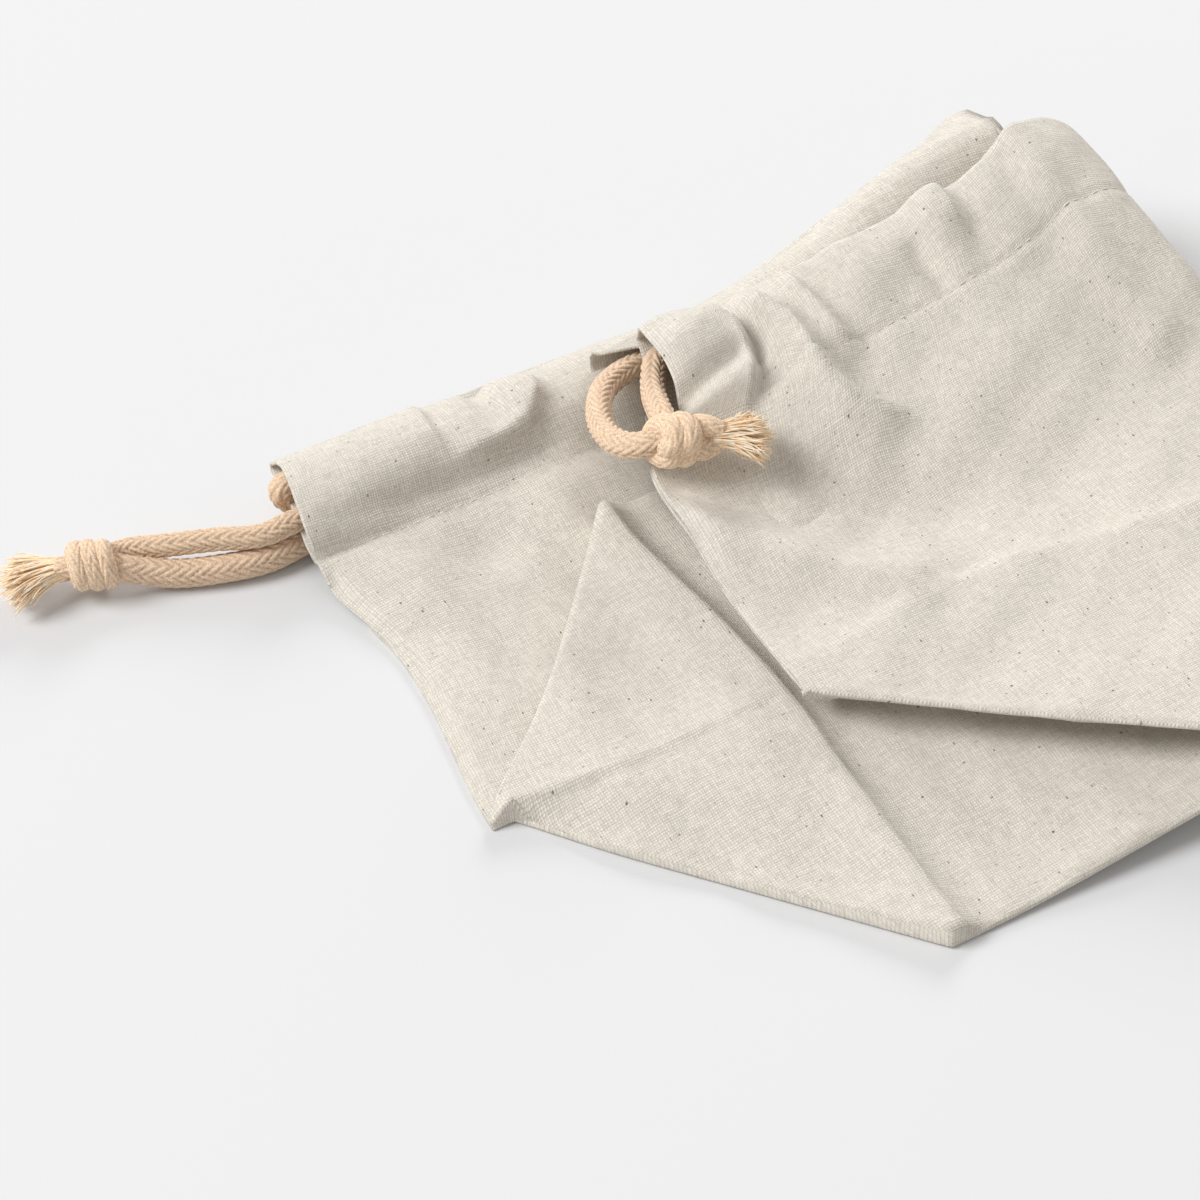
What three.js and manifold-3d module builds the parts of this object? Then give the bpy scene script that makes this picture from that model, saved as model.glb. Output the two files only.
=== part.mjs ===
// Drawstring lunch bag: a boxed linen bag folded flat, its right half doubled over to the left,
// with two braided drawcords, each tied at its own slit and frayed past the knot.
//
// The cloth is worked out twice over. First it lies as a flat stack: `u` runs across the bag from
// the left side seam, `y` runs up the bag from the line through the two ear tips, and `w` counts up
// through the layers from the surface below. Then `place` doubles that stack over.
import * as THREE from "three";
import { mergeVertices } from "three/addons/utils/BufferGeometryUtils.js";
import Module from "manifold-3d";

// Driving dimensions, in millimetres
const BASE_WIDTH = 200;
const BASE_DEPTH = 110;
const WALL_HEIGHT = 147;
const CLOTH = 1.0;
const CASING_DEPTH = 24;
const CORD_DIAMETER = 4.8;
const LAYER_PITCH = 1.8;
const BASE_FOLD_PITCH = 1.6;
const TIP_HALF_WIDTH = 3.2;

// Sizes that follow from them
const FLAT_WIDTH = BASE_WIDTH + BASE_DEPTH;
const HALF_DEPTH = BASE_DEPTH / 2;
const MOUTH = WALL_HEIGHT - HALF_DEPTH;
const STITCH = MOUTH - CASING_DEPTH;
const HALF_CLOTH = CLOTH / 2;

// The stack's point that becomes the part's origin, at the middle of the laid bag
const ORIGIN = { x: 90.2, y: 18.6 };

// How the doubled-over half lies at the base and at the mouth: the outermost reach of the fold, its
// radius, the rise of the lower half beside it, and the height at which the upper half comes to lie
const BASE_LAY = { reach: 177.5, radius: 9, rise: 0, landing: 13.4 };
const MOUTH_LAY = { reach: 180.5, radius: 18.4, rise: 3, landing: 26.4 };
const RISE_START = 80;
const FALL_LENGTH = 92;
// The upper half is drawn down toward the base as it turns over, most at the mouth
const PULL = { base: 0, mouth: 20, start: 150, length: 108 };
// The left side seam draws in a little between the casing and the ear tip
const WAIST = { inset: 2.4, y: 40, span: 46, reach: 50 };

// Section of a casing with its two cords, from the stitch line (0) to the mouth edge (1): half
// thickness, half height of its tunnel, and the height of the front casing's middle over the table
const CASING = [
  { at: 0.0, half: 0.5, tunnel: 0, seat: 5.2 },
  { at: 0.11, half: 2.7, tunnel: 1.7, seat: 9.2 },
  { at: 0.29, half: 4.0, tunnel: 3.0, seat: 12.5 },
  { at: 0.72, half: 4.0, tunnel: 3.0, seat: 12.5 },
  { at: 0.91, half: 3.1, tunnel: 2.1, seat: 11.2 },
  { at: 1.0, half: 1.6, tunnel: 0, seat: 9.6 },
];
// Where in the casings each cord runs, between the stitch line (0) and the mouth edge (1)
const CORD_SEATS = { left: 0.37, right: 0.65 };
// Each knot: its middle and heading, across the bag and up it from the ear tip, the reach of its tail
// and tuft, and the free strands that come to it from the front and the back casing
const LEFT_TIE = {
  middle: [-35.3, 86.9, 5.9],
  heading: 158,
  tail: 8.6,
  tuftLength: 9,
  front: [
    [-6, 77.6, 10.4],
    [-13.7, 80.6, 7.5],
    [-21.5, 84.2, 6.1],
    [-28.6, 87.0, 5.9],
  ],
  back: [
    [-6, 75.0, 3.1],
    [-13.3, 73.6, 2.7],
    [-21.5, 75.8, 2.9],
    [-27.2, 79.6, 4.4],
    [-30.6, 82.0, 5.4],
  ],
};
const RIGHT_TIE = {
  middle: [66, 45, 27.2],
  heading: -27,
  tail: 7.6,
  tuftLength: 6.6,
  front: [
    [66, 68.8, 17],
    [62.3, 72.6, 20.2],
    [58.2, 71.4, 20.2],
    [55.8, 66, 18.6],
    [54.8, 58.5, 18.6],
    [55.6, 50.8, 22.8],
    [58.5, 46.3, 26.6],
  ],
  back: [
    [66, 64.6, 21.6],
    [62.4, 62, 22.6],
    [60.3, 57.6, 25],
    [61.1, 52.0, 27.2],
  ],
};
const KNOT = { coreRadius: 3.5, wrapRadius: 3.25, entry: -5.2, exit: 6, turns: 2 };
const TUFT = { strands: 18, thickness: 1.0, spread: 2.6, droop: 2.2 };
const GOLDEN_ANGLE = Math.PI * (3 - Math.sqrt(5));

// Gathers across the outer face of a casing: where along the mouth, half width and height
const GATHERS = [
  { side: "front", u: 14, span: 13, height: 0.9 },
  { side: "front", u: 36, span: 9, height: 1.6 },
  { side: "front", u: 58, span: 10, height: 1.3 },
  { side: "front", u: 82, span: 14, height: 0.8 },
  { side: "back", u: 232, span: 12, height: 1.4 },
  { side: "back", u: 258, span: 11, height: 1.6 },
  { side: "back", u: 283, span: 10, height: 2.4 },
  { side: "back", u: 302, span: 8, height: 1.0 },
];
// The lower half's front casing stands up on its stitch line beside the fold, a little fuller there
const STAND = { u: 140, span: 27, rise: 14, fuller: 0.45 };

// Soft swells of a single layer: its middle, half widths and rise along w
const SWELLS = [
  { layer: "front", u: 30, y: 50, du: 30, dy: 18, rise: 1.4 },
  { layer: "base", u: 30, y: -16, du: 24, dy: 22, rise: 1.2 },
  { layer: "base", u: 95, y: -30, du: 60, dy: 26, rise: 1.6 },
  { layer: "back", u: 262, y: 20, du: 42, dy: 34, rise: -3.4 },
  { layer: "back", u: 240, y: 48, du: 40, dy: 24, rise: -2.2 },
];
const SEAM = { ridge: 1.2, reach: 3 };

const CLOTH_LOOK = { color: 0xd6cfc4, roughness: 0.92, metalness: 0 };
const CORD_LOOK = { color: 0xdebe9b, roughness: 0.9, metalness: 0 };
const TUFT_LOOK = { color: 0xe6cdaf, roughness: 0.95, metalness: 0 };

const clamp = THREE.MathUtils.clamp;
const lerp = THREE.MathUtils.lerp;
const smooth = (t) => THREE.MathUtils.smoothstep(t, 0, 1);
const bump = (t) => (Math.abs(t) < 1 ? 0.5 + 0.5 * Math.cos(Math.PI * t) : 0);

const wasm = await Module();
wasm.setup();

function solidOf(geometry) {
  const bare = geometry.clone();
  for (const name of Object.keys(bare.attributes)) {
    if (name !== "position") bare.deleteAttribute(name);
  }
  const merged = mergeVertices(bare, 1e-4);
  return new wasm.Manifold(
    new wasm.Mesh({
      numProp: 3,
      vertProperties: new Float32Array(merged.attributes.position.array),
      triVerts: new Uint32Array(merged.index.array),
    }),
  );
}

function geometryOf(solid) {
  const mesh = solid.getMesh();
  const positions = [];
  for (let i = 0; i < mesh.numVert; i += 1) {
    const at = i * mesh.numProp;
    positions.push(...mesh.vertProperties.slice(at, at + 3));
  }
  const geometry = new THREE.BufferGeometry();
  geometry.setAttribute("position", new THREE.Float32BufferAttribute(positions, 3));
  geometry.setIndex(Array.from(mesh.triVerts));
  geometry.computeVertexNormals();
  return geometry;
}

// A closed surface over a grid of points that runs round (columns) and along (rows), capped at both
// ends by fans about the middle of the end rows.
function loft(rows) {
  const count = rows[0].length;
  const points = rows.flat();
  const index = [];
  for (let i = 0; i + 1 < rows.length; i += 1) {
    for (let j = 0; j < count; j += 1) {
      const a = i * count + j;
      const b = i * count + ((j + 1) % count);
      index.push(a, b, a + count, b, b + count, a + count);
    }
  }
  for (const [row, first] of [[rows[0], 0], [rows.at(-1), (rows.length - 1) * count]]) {
    const middle = new THREE.Vector3();
    row.forEach((p) => middle.addScaledVector(p, 1 / count));
    const hub = points.push(middle) - 1;
    for (let j = 0; j < count; j += 1) {
      const a = first + j;
      const b = first + ((j + 1) % count);
      index.push(...(first ? [a, b, hub] : [b, a, hub]));
    }
  }
  const geometry = new THREE.BufferGeometry().setFromPoints(points);
  geometry.setIndex(index);
  return geometry;
}

// A closed sheet: each row is a section's path as pairs of points on its two faces.
function sheet(rows) {
  const count = rows[0].length;
  const points = rows.flat(2);
  const id = (i, j, face) => (i * count + j) * 2 + face;
  const index = [];
  const quad = (a, b, c, d) => index.push(a, b, c, a, c, d);
  const last = rows.length - 1;
  for (let i = 0; i < last; i += 1) {
    for (let j = 0; j + 1 < count; j += 1) {
      quad(id(i, j, 0), id(i, j + 1, 0), id(i + 1, j + 1, 0), id(i + 1, j, 0));
      quad(id(i, j, 1), id(i + 1, j, 1), id(i + 1, j + 1, 1), id(i, j + 1, 1));
    }
    quad(id(i, 0, 0), id(i + 1, 0, 0), id(i + 1, 0, 1), id(i, 0, 1));
    quad(id(i, count - 1, 0), id(i, count - 1, 1), id(i + 1, count - 1, 1), id(i + 1, count - 1, 0));
  }
  for (let j = 0; j + 1 < count; j += 1) {
    quad(id(0, j, 0), id(0, j, 1), id(0, j + 1, 1), id(0, j + 1, 0));
    quad(id(last, j, 0), id(last, j + 1, 0), id(last, j + 1, 1), id(last, j, 1));
  }
  const geometry = new THREE.BufferGeometry().setFromPoints(points);
  geometry.setIndex(index);
  return geometry;
}

// The sizes of the doubling-over at height y up the bag
function layAt(y) {
  const share = smooth((y - 20) / 76);
  const reach = lerp(BASE_LAY.reach, MOUTH_LAY.reach, share);
  const radius = lerp(BASE_LAY.radius, MOUTH_LAY.radius, share);
  const rise = lerp(BASE_LAY.rise, MOUTH_LAY.rise, share);
  const landing = lerp(BASE_LAY.landing, MOUTH_LAY.landing, share);
  const centre = reach - radius;
  const slope = Math.atan((2 * rise) / (centre - RISE_START));
  const turnStart = centre + radius * Math.sin(slope);
  const turnEnd = turnStart + radius * (Math.PI - slope);
  const pull = lerp(PULL.base, PULL.mouth, (y + HALF_DEPTH) / WALL_HEIGHT);
  return { radius, rise, landing, centre, slope, turnStart, turnEnd, pull };
}

// Where a point of the flat stack comes to lie
function place(u, y, w) {
  const lay = layAt(y);
  const top = lay.rise + lay.radius * (1 + Math.cos(lay.slope));
  let x = u;
  let z = 0;
  let tilt = 0;
  const shift = lay.pull * smooth((u - PULL.start) / PULL.length);
  if (u <= lay.turnStart) {
    const span = lay.turnStart - RISE_START;
    const t = Math.max(u - RISE_START, 0) / span;
    x += WAIST.inset * bump((y - WAIST.y) / WAIST.span) * (1 - smooth(u / WAIST.reach));
    z = lay.rise * t * t;
    tilt = Math.atan((2 * lay.rise * t) / span);
  } else if (u < lay.turnEnd) {
    tilt = lay.slope + (u - lay.turnStart) / lay.radius;
    x = lay.centre + lay.radius * Math.sin(tilt);
    z = top - lay.radius - lay.radius * Math.cos(tilt);
  } else {
    const along = u - lay.turnEnd;
    const t = clamp(along / FALL_LENGTH, 0, 1);
    x = lay.centre - along;
    z = lerp(top, lay.landing, smooth(t));
    tilt = Math.PI + Math.atan(((top - lay.landing) * 6 * t * (1 - t)) / FALL_LENGTH);
  }
  return new THREE.Vector3(
    x - w * Math.sin(tilt) - ORIGIN.x,
    y - shift - ORIGIN.y,
    z + w * Math.cos(tilt),
  );
}

const fromSide = (u) => Math.min(u, FLAT_WIDTH - u);
const halfBase = (u) => clamp(fromSide(u), TIP_HALF_WIDTH, HALF_DEPTH);
const pitchAt = (u) => LAYER_PITCH * lerp(0.82, 1, smooth(fromSide(u) / 40));

function swell(layer, u, y) {
  let rise = 0;
  for (const s of SWELLS) {
    if (s.layer === layer) rise += s.rise * bump((u - s.u) / s.du) * bump((y - s.y) / s.dy);
  }
  return rise;
}

function gather(side, u) {
  let rise = 0;
  for (const g of GATHERS) {
    if (g.side === side) rise += g.height * bump((u - g.u) / g.span);
  }
  return rise;
}

// Middle heights of the layers in the flat stack
function backHeight(u, y) {
  return HALF_CLOTH + swell("back", u, y);
}

function frontHeight(u, y) {
  const low = HALF_CLOTH + pitchAt(u);
  return lerp(low, CASING[0].seat, smooth((y - 42) / 26)) + swell("front", u, y);
}

function baseHeight(u, y) {
  const over = frontHeight(u, Math.max(y, 0)) + 2 * pitchAt(u);
  const low = HALF_CLOTH + BASE_FOLD_PITCH;
  const seam = SEAM.ridge * bump((fromSide(u) - HALF_DEPTH) / SEAM.reach);
  return lerp(over, low, smooth(-y / halfBase(u))) + swell("base", u, y) + seam;
}

function casingY(at) {
  return STITCH + CASING_DEPTH * at;
}

// How far a casing stands up at u, from 0 to 1
function stand(side, u) {
  return side === "front" ? bump((u - STAND.u) / STAND.span) : 0;
}

function casingSeat(side, row, u) {
  const seat = side === "front" ? row.seat : row.half;
  return seat + STAND.rise * row.at * stand(side, u);
}

function fuller(side, u) {
  return 1 + STAND.fuller * stand(side, u);
}

// Half a turn of a fold, from one layer to the next
function foldPath(y, w, radius, outward, upward) {
  return [0, 90, 180].map((angle) => {
    const a = THREE.MathUtils.degToRad(angle);
    return { y: y + outward * radius * Math.sin(a), w: w + upward * radius * (1 - Math.cos(a)) };
  });
}

// The cloth's whole path across a section: back casing, back, base, front flap, front, front casing
function sectionPath(u) {
  const half = halfBase(u);
  const pitch = pitchAt(u);
  const baseFoldRadius = BASE_FOLD_PITCH / 2;
  const foldInset = pitch / 2 + HALF_CLOTH;
  const baseEdge = -half + baseFoldRadius + HALF_CLOTH;
  const flapEdge = half - foldInset;
  const frontEdge = foldInset;
  const on = (height) => (y) => ({ y, w: height(u, y) });
  const casing = (side) => (row) => ({
    y: casingY(row.at),
    w: casingSeat(side, row, u),
    half: row.half * fuller(side, u),
    outer: gather(side, u) * smooth(row.at / 0.3),
    up: side === "front" ? 1 : -1,
  });
  const flapHeight = (_, y) => frontHeight(u, y) + pitch;
  const baseYs = [0.7, 0.35].map((f) => f * baseEdge);
  const flapYs = [0, 0.35, 0.7].map((f) => f * flapEdge);
  const frontYs = [0.25, 0.5, 0.7, 0.86].map((f) => lerp(frontEdge, STITCH, f));
  const backYs = [0.7, 0.35, 0].map((f) => f * STITCH);
  return [
    ...CASING.map(casing("back")).reverse(),
    ...backYs.map(on(backHeight)),
    on(backHeight)(baseEdge / 2),
    ...foldPath(baseEdge, HALF_CLOTH, baseFoldRadius, -1, 1),
    ...[...baseYs, ...flapYs].map(on(baseHeight)),
    ...foldPath(flapEdge, frontHeight(u, flapEdge) + 2 * pitch, pitch / 2, 1, -1),
    on(flapHeight)(lerp(flapEdge, frontEdge, 0.5)),
    ...foldPath(frontEdge, frontHeight(u, frontEdge) + pitch, pitch / 2, -1, -1),
    ...frontYs.map(on(frontHeight)),
    ...CASING.map(casing("front")),
  ];
}

// The two faces of the cloth along a section, laid in place
function sectionFaces(u) {
  const path = sectionPath(u);
  return path.map((p, i) => {
    const before = path[Math.max(i - 1, 0)];
    const after = path[Math.min(i + 1, path.length - 1)];
    const along = new THREE.Vector2(after.y - before.y, after.w - before.w).normalize();
    if (p.half) {
      const outer = p.w + p.up * (p.half + p.outer);
      const inner = p.w - p.up * p.half;
      return [inner, outer].map((w) => place(u, p.y, w));
    }
    const across = new THREE.Vector2(-along.y, along.x).multiplyScalar(HALF_CLOTH);
    return [-1, 1].map((s) => place(u, p.y + s * across.x, p.w + s * across.y));
  });
}

// Stations across the bag: close at the side seams, the boxing seams and the fold, which is tighter
// at the base than at the mouth
function stations() {
  const turn = layAt(MOUTH);
  const tightEnd = layAt(0).turnEnd + 2;
  const half = [0, TIP_HALF_WIDTH, 8, 15, 24, 34, 44, 52, HALF_DEPTH, 58];
  const list = [...half, 70, 84, 98, 112, 126, 138, 150, 158];
  const tightSteps = 10;
  const wideSteps = 5;
  for (let i = 0; i < tightSteps; i += 1) list.push(lerp(turn.turnStart, tightEnd, i / tightSteps));
  for (let i = 0; i <= wideSteps; i += 1) list.push(lerp(tightEnd, turn.turnEnd, i / wideSteps));
  list.push(228, 238, ...half.map((u) => FLAT_WIDTH - u).reverse());
  return list;
}

function sideSeam(u) {
  const inward = Math.sign(FLAT_WIDTH / 2 - u);
  const rows = [2.5, 14, 28, 40, 50, 58, STITCH - 0.5].map((y) => {
    const edges = [u + inward * 0.2, u + inward * 1.6].sort((a, b) => a - b);
    const low = backHeight(edges[0], y);
    const high = frontHeight(edges[0], y);
    return [
      place(edges[0], y, low),
      place(edges[0], y, high),
      place(edges[1], y, high),
      place(edges[1], y, low),
    ];
  });
  return loft(rows);
}

function casingTunnel(side) {
  const rows = CASING.filter((row) => row.tunnel > 0);
  const ends = [-6, ...stations(), FLAT_WIDTH + 6];
  return loft(
    ends.map((u) => {
      const ring = (sign) => (row) =>
        place(u, casingY(row.at), casingSeat(side, row, u) + sign * row.tunnel * fuller(side, u));
      return [...rows.map(ring(-1)), ...rows.map(ring(1)).reverse()];
    }),
  );
}

function bagBody() {
  let body = solidOf(sheet(stations().map(sectionFaces)));
  for (const u of [0, FLAT_WIDTH]) body = body.add(solidOf(sideSeam(u)));
  for (const side of ["back", "front"]) body = body.subtract(solidOf(casingTunnel(side)));
  return geometryOf(body);
}

// A curve with a step at each of its points, closer where the route bends
class Route extends THREE.CatmullRomCurve3 {
  getPointAt(t, target) {
    return this.getPoint(t, target);
  }

  getTangentAt(t, target) {
    return this.getTangent(t, target);
  }
}

function polygon(radius, sides) {
  const points = [];
  for (let i = 0; i < sides; i += 1) {
    const a = (2 * Math.PI * i) / sides;
    points.push(new THREE.Vector2(radius * Math.cos(a), radius * Math.sin(a)));
  }
  return new THREE.Shape(points);
}

function tube(points, radius, sides) {
  return new THREE.ExtrudeGeometry(polygon(radius, sides), {
    extrudePath: new Route(points),
    steps: points.length - 1,
    bevelEnabled: false,
  });
}

// A cord's run through one casing, from the left slit to the right one
function casingRun(side, at) {
  const y = casingY(at);
  const lay = layAt(y);
  const row = { ...CASING[2], at };
  const rises = [-1, -0.5, 0, 0.4, 0.75].map((t) => STAND.u + t * STAND.span);
  const list = [0, ...(side === "front" ? rises : [RISE_START, STAND.u])];
  const turns = 8;
  for (let i = 0; i <= turns; i += 1) list.push(lerp(lay.turnStart, lay.turnEnd, i / turns));
  const falls = 8;
  for (let i = 1; i <= falls; i += 1) list.push(lerp(lay.turnEnd, FLAT_WIDTH, i / falls));
  return list.map((u) => place(u, y, casingSeat(side, row, u)));
}

// The short loop of a cord from one casing round into the other, out past the end of both
function casingLoop(end, outward, y, fromW, toW) {
  const radius = Math.abs(fromW - toW) / 2;
  return [45, 90, 135].map((angle) => {
    const a = THREE.MathUtils.degToRad(angle);
    const u = end + outward * (radius * Math.sin(a) - 0.3);
    return place(u, y, lerp(fromW, toW, (1 - Math.cos(a)) / 2));
  });
}

const inPart = ([x, y, z]) => new THREE.Vector3(x - ORIGIN.x, y - ORIGIN.y, z);

// A whole cord: from its knot through the front casing, round the far slit and back to its knot
function drawcord(tie, seat, tiedEnd) {
  const y = casingY(seat);
  const frontW = CASING[2].seat;
  const backW = CASING[2].half;
  const tiedLeft = tiedEnd === 0;
  const frontRun = casingRun("front", seat);
  const backRun = casingRun("back", seat);
  const farEnd = tiedLeft ? FLAT_WIDTH : 0;
  const loop = casingLoop(farEnd, tiedLeft ? 1 : -1, y, frontW, backW);
  const out = tiedLeft ? frontRun : frontRun.reverse();
  const back = tiedLeft ? backRun.reverse() : backRun;
  const route = [
    ...tie.front.map(inPart).reverse(),
    ...out,
    ...loop,
    ...back,
    ...tie.back.map(inPart),
  ];
  return tube(route, CORD_DIAMETER / 2, 8);
}

// The knot about its own +X axis: two turns of cord round a core, and the doubled tail past them
function knot(tie) {
  const core = new THREE.CylinderGeometry(KNOT.coreRadius, KNOT.coreRadius, KNOT.exit - KNOT.entry, 12);
  core.rotateZ(-Math.PI / 2);
  core.translate((KNOT.exit + KNOT.entry) / 2, 0, 0);
  const tail = new THREE.CylinderGeometry(2.9, 2.7, tie.tail - KNOT.exit + 1, 10);
  tail.rotateZ(-Math.PI / 2);
  tail.translate((tie.tail + KNOT.exit - 1) / 2, 0, 0);
  const steps = 18;
  const wrap = [];
  for (let i = 0; i <= steps; i += 1) {
    const a = (2 * Math.PI * KNOT.turns * i) / steps;
    const x = lerp(-2.9, 3.4, i / steps);
    wrap.push(new THREE.Vector3(x, KNOT.wrapRadius * Math.cos(a), KNOT.wrapRadius * Math.sin(a)));
  }
  const turns = solidOf(tube(wrap, CORD_DIAMETER / 2, 8));
  return solidOf(core).add(solidOf(tail)).add(turns);
}

// Frayed ends fanning out of the tail, each a three-sided strand
function tuft(tie) {
  let fan = null;
  for (let i = 0; i < TUFT.strands; i += 1) {
    const share = Math.sqrt((i + 0.5) / TUFT.strands);
    const a = i * GOLDEN_ANGLE;
    const side = share * Math.cos(a);
    const up = share * Math.sin(a);
    const reach = tie.tuftLength * (1 - 0.25 * share + 0.12 * Math.sin(5 * i));
    const at = (t) =>
      new THREE.Vector3(
        tie.tail - 0.8 + reach * t,
        2.1 * side * lerp(1, TUFT.spread, t * t),
        2.1 * up * lerp(1, 0.5 * TUFT.spread, t) - TUFT.droop * t * t,
      );
    const strand = solidOf(tube([at(0), at(0.5), at(1)], TUFT.thickness / 2, 3));
    fan = fan ? fan.add(strand) : strand;
  }
  return fan;
}

function namedMesh(name, geometry, look) {
  const mesh = new THREE.Mesh(geometry, new THREE.MeshStandardMaterial(look));
  mesh.name = name;
  return mesh;
}

function knotMesh(name, tie) {
  const mesh = namedMesh(name, geometryOf(knot(tie).add(tuft(tie))), TUFT_LOOK);
  mesh.position.copy(inPart(tie.middle));
  mesh.rotation.z = THREE.MathUtils.degToRad(tie.heading);
  return mesh;
}

const bag = new THREE.Group();
bag.add(
  namedMesh("bag_body", bagBody(), CLOTH_LOOK),
  namedMesh("drawcord_left", drawcord(LEFT_TIE, CORD_SEATS.left, 0), CORD_LOOK),
  namedMesh("drawcord_right", drawcord(RIGHT_TIE, CORD_SEATS.right, FLAT_WIDTH), CORD_LOOK),
  knotMesh("knot_left", LEFT_TIE),
  knotMesh("knot_right", RIGHT_TIE),
);

export default bag;
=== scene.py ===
"""Drawstring lunch bag of natural linen, folded flat and doubled over, with two knotted drawcords.

Sizes in the tables are millimetres on the cloth: u runs across the bag from its left side seam, y up
the bag from the line through the ear tips, and w up through the layers. place() lays them in space.
"""
import math
from collections import namedtuple
from types import SimpleNamespace

import bpy
import numpy as np
from bpy.props import FloatProperty, FloatVectorProperty, IntProperty, PointerProperty
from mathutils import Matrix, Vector


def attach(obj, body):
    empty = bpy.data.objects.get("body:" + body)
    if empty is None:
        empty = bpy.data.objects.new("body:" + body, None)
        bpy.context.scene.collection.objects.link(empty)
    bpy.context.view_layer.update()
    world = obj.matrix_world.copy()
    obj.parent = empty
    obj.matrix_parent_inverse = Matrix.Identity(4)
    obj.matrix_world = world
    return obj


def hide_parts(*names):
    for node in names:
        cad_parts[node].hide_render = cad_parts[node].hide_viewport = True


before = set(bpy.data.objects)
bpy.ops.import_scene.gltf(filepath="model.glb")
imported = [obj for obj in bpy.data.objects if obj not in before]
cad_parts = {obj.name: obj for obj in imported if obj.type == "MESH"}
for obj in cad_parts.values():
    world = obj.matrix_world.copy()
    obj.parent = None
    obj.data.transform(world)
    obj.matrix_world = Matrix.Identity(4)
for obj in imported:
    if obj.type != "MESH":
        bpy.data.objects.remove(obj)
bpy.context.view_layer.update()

bl_info = {
    "name": "Drawstring lunch bag",
    "version": (1, 0, 0),
    "blender": (4, 5, 0),
    "location": "View3D > Sidebar > Lunch bag",
    "description": "Builds a folded linen drawstring bag with braided, knotted cords",
    "category": "Add Mesh",
}

MM = 0.001
TINY = 1e-12
BODY = "root"

# The cut and the folded stack
FLAT_WIDTH = 310
HALF_DEPTH = 55
MOUTH = 92
STITCH = 68
CASING_DEPTH = MOUTH - STITCH
FRONT_DEPTH = 23
LAYER_PITCH = 1.8
# The layers' pitch near the side seams, as a share, and how far in that reaches
EDGE_PITCH, EDGE_PITCH_REACH = 0.82, 40
BASE_FOLD_PITCH = 0.85
FLOOR_LAYER = 0.3
EAR_TIP = 0.7
ORIGIN = (90.2, 18.6)

# A rise, or a shift of the laid cloth, about or from (u, y) and over du and dy
Swell = namedtuple("Swell", "u y du dy rise")

# How the doubled-over half lies at the base and at the mouth
Lay = namedtuple("Lay", "reach radius rise landing")
BASE_LAY = Lay(reach=177.5, radius=9, rise=0, landing=13.4)
MOUTH_LAY = Lay(reach=175, radius=16.6, rise=3, landing=26.4)
LAY_FROM, LAY_SPAN = 20, 76
RISE_START = 80
FALL_LENGTH = 92
# The doubled-over half lies skewed: its mouth is further down than its base
PULL = SimpleNamespace(base=0, mouth=20, start=140, length=100)
# The casing's pleats take up some of the doubled-over half's width
GATHER = Swell(u=190, y=40, du=110, dy=40, rise=8)
# The mouth of the doubled-over half is drawn up beside the fold
PEAK = Swell(u=213, y=60, du=20, dy=32, rise=4)
# The left side seam is drawn in between the ear and the casing
WAIST = SimpleNamespace(inset=4.4, y=42, below=46, above=28, reach=50)

# Depth of the folded base below and above the ear tips, how its edges run out from an ear's tip, and
# how far in from the side seam they start
Ear = namedtuple("Ear", "below above slope_below slope_above start")
LEFT_EAR = Ear(below=57.2, above=52.7, slope_below=1.17, slope_above=1.06, start=3.6)
RIGHT_EAR = Ear(below=55, above=55, slope_below=0.9, slope_above=1.0, start=0)
# Where across the bag the left ear's depths start to give way to the right ear's, and over how much
BELOW_FROM, ABOVE_FROM, DEPTH_SPAN = 110, 60, 80
# The front rises from the stack to its stitch line from here on
FRONT_RISE_FROM = 42

# Heights of a casing's walls from the stitch line (0) to the mouth (1): the middle of the casing, the
# front's outer wall at the slit, over the first pleats and beyond them, and the inner walls
Wall = namedtuple("Wall", "at seat slit pleats run front_inner back_inner")
WALLS = [
    Wall(0.00, 5.2, 5.4, 5.4, 5.4, 4.8, 0.9),
    Wall(0.06, 6.0, 8.0, 5.9, 6.6, 5.4, 2.9),
    Wall(0.12, 7.0, 9.6, 6.5, 8.0, 5.8, 4.7),
    Wall(0.17, 7.6, 10.4, 7.3, 9.4, 6.0, 5.3),
    Wall(0.20, 8.0, 10.8, 8.8, 10.2, 6.2, 5.6),
    Wall(0.25, 8.6, 11.4, 10.7, 11.4, 6.4, 5.8),
    Wall(0.30, 9.2, 11.9, 11.8, 12.4, 6.8, 6.2),
    Wall(0.36, 9.8, 12.3, 12.6, 13.3, 7.3, 6.6),
    Wall(0.50, 10.6, 12.9, 13.7, 14.4, 7.7, 7.0),
    Wall(0.66, 10.8, 13.0, 13.8, 14.8, 7.7, 7.0),
    Wall(0.78, 10.2, 12.6, 13.3, 14.2, 7.5, 6.8),
    Wall(0.90, 8.8, 11.2, 11.8, 12.4, 7.4, 4.6),
    Wall(1.00, 7.0, 9.2, 9.6, 9.6, 6.8, 2.2),
]
PLEATS_END, PLEATS_FADE = 46, 10
SLIT_REACH = 25
# The casing is pressed lower where the doubled-over half lies near and on it, and in full from a share of
# the way up its walls
PRESS = SimpleNamespace(start=24, lead=14, end=88, trail=26, share=0.1, cord_share=0.3, full=0.3)
# The front casing stands up beside the fold. Its inner wall and its cords come down again before the fold
STAND = SimpleNamespace(u=161, before=71, after=11, rise=18.6, fuller=0.3, lead=16, fall=12)

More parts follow.
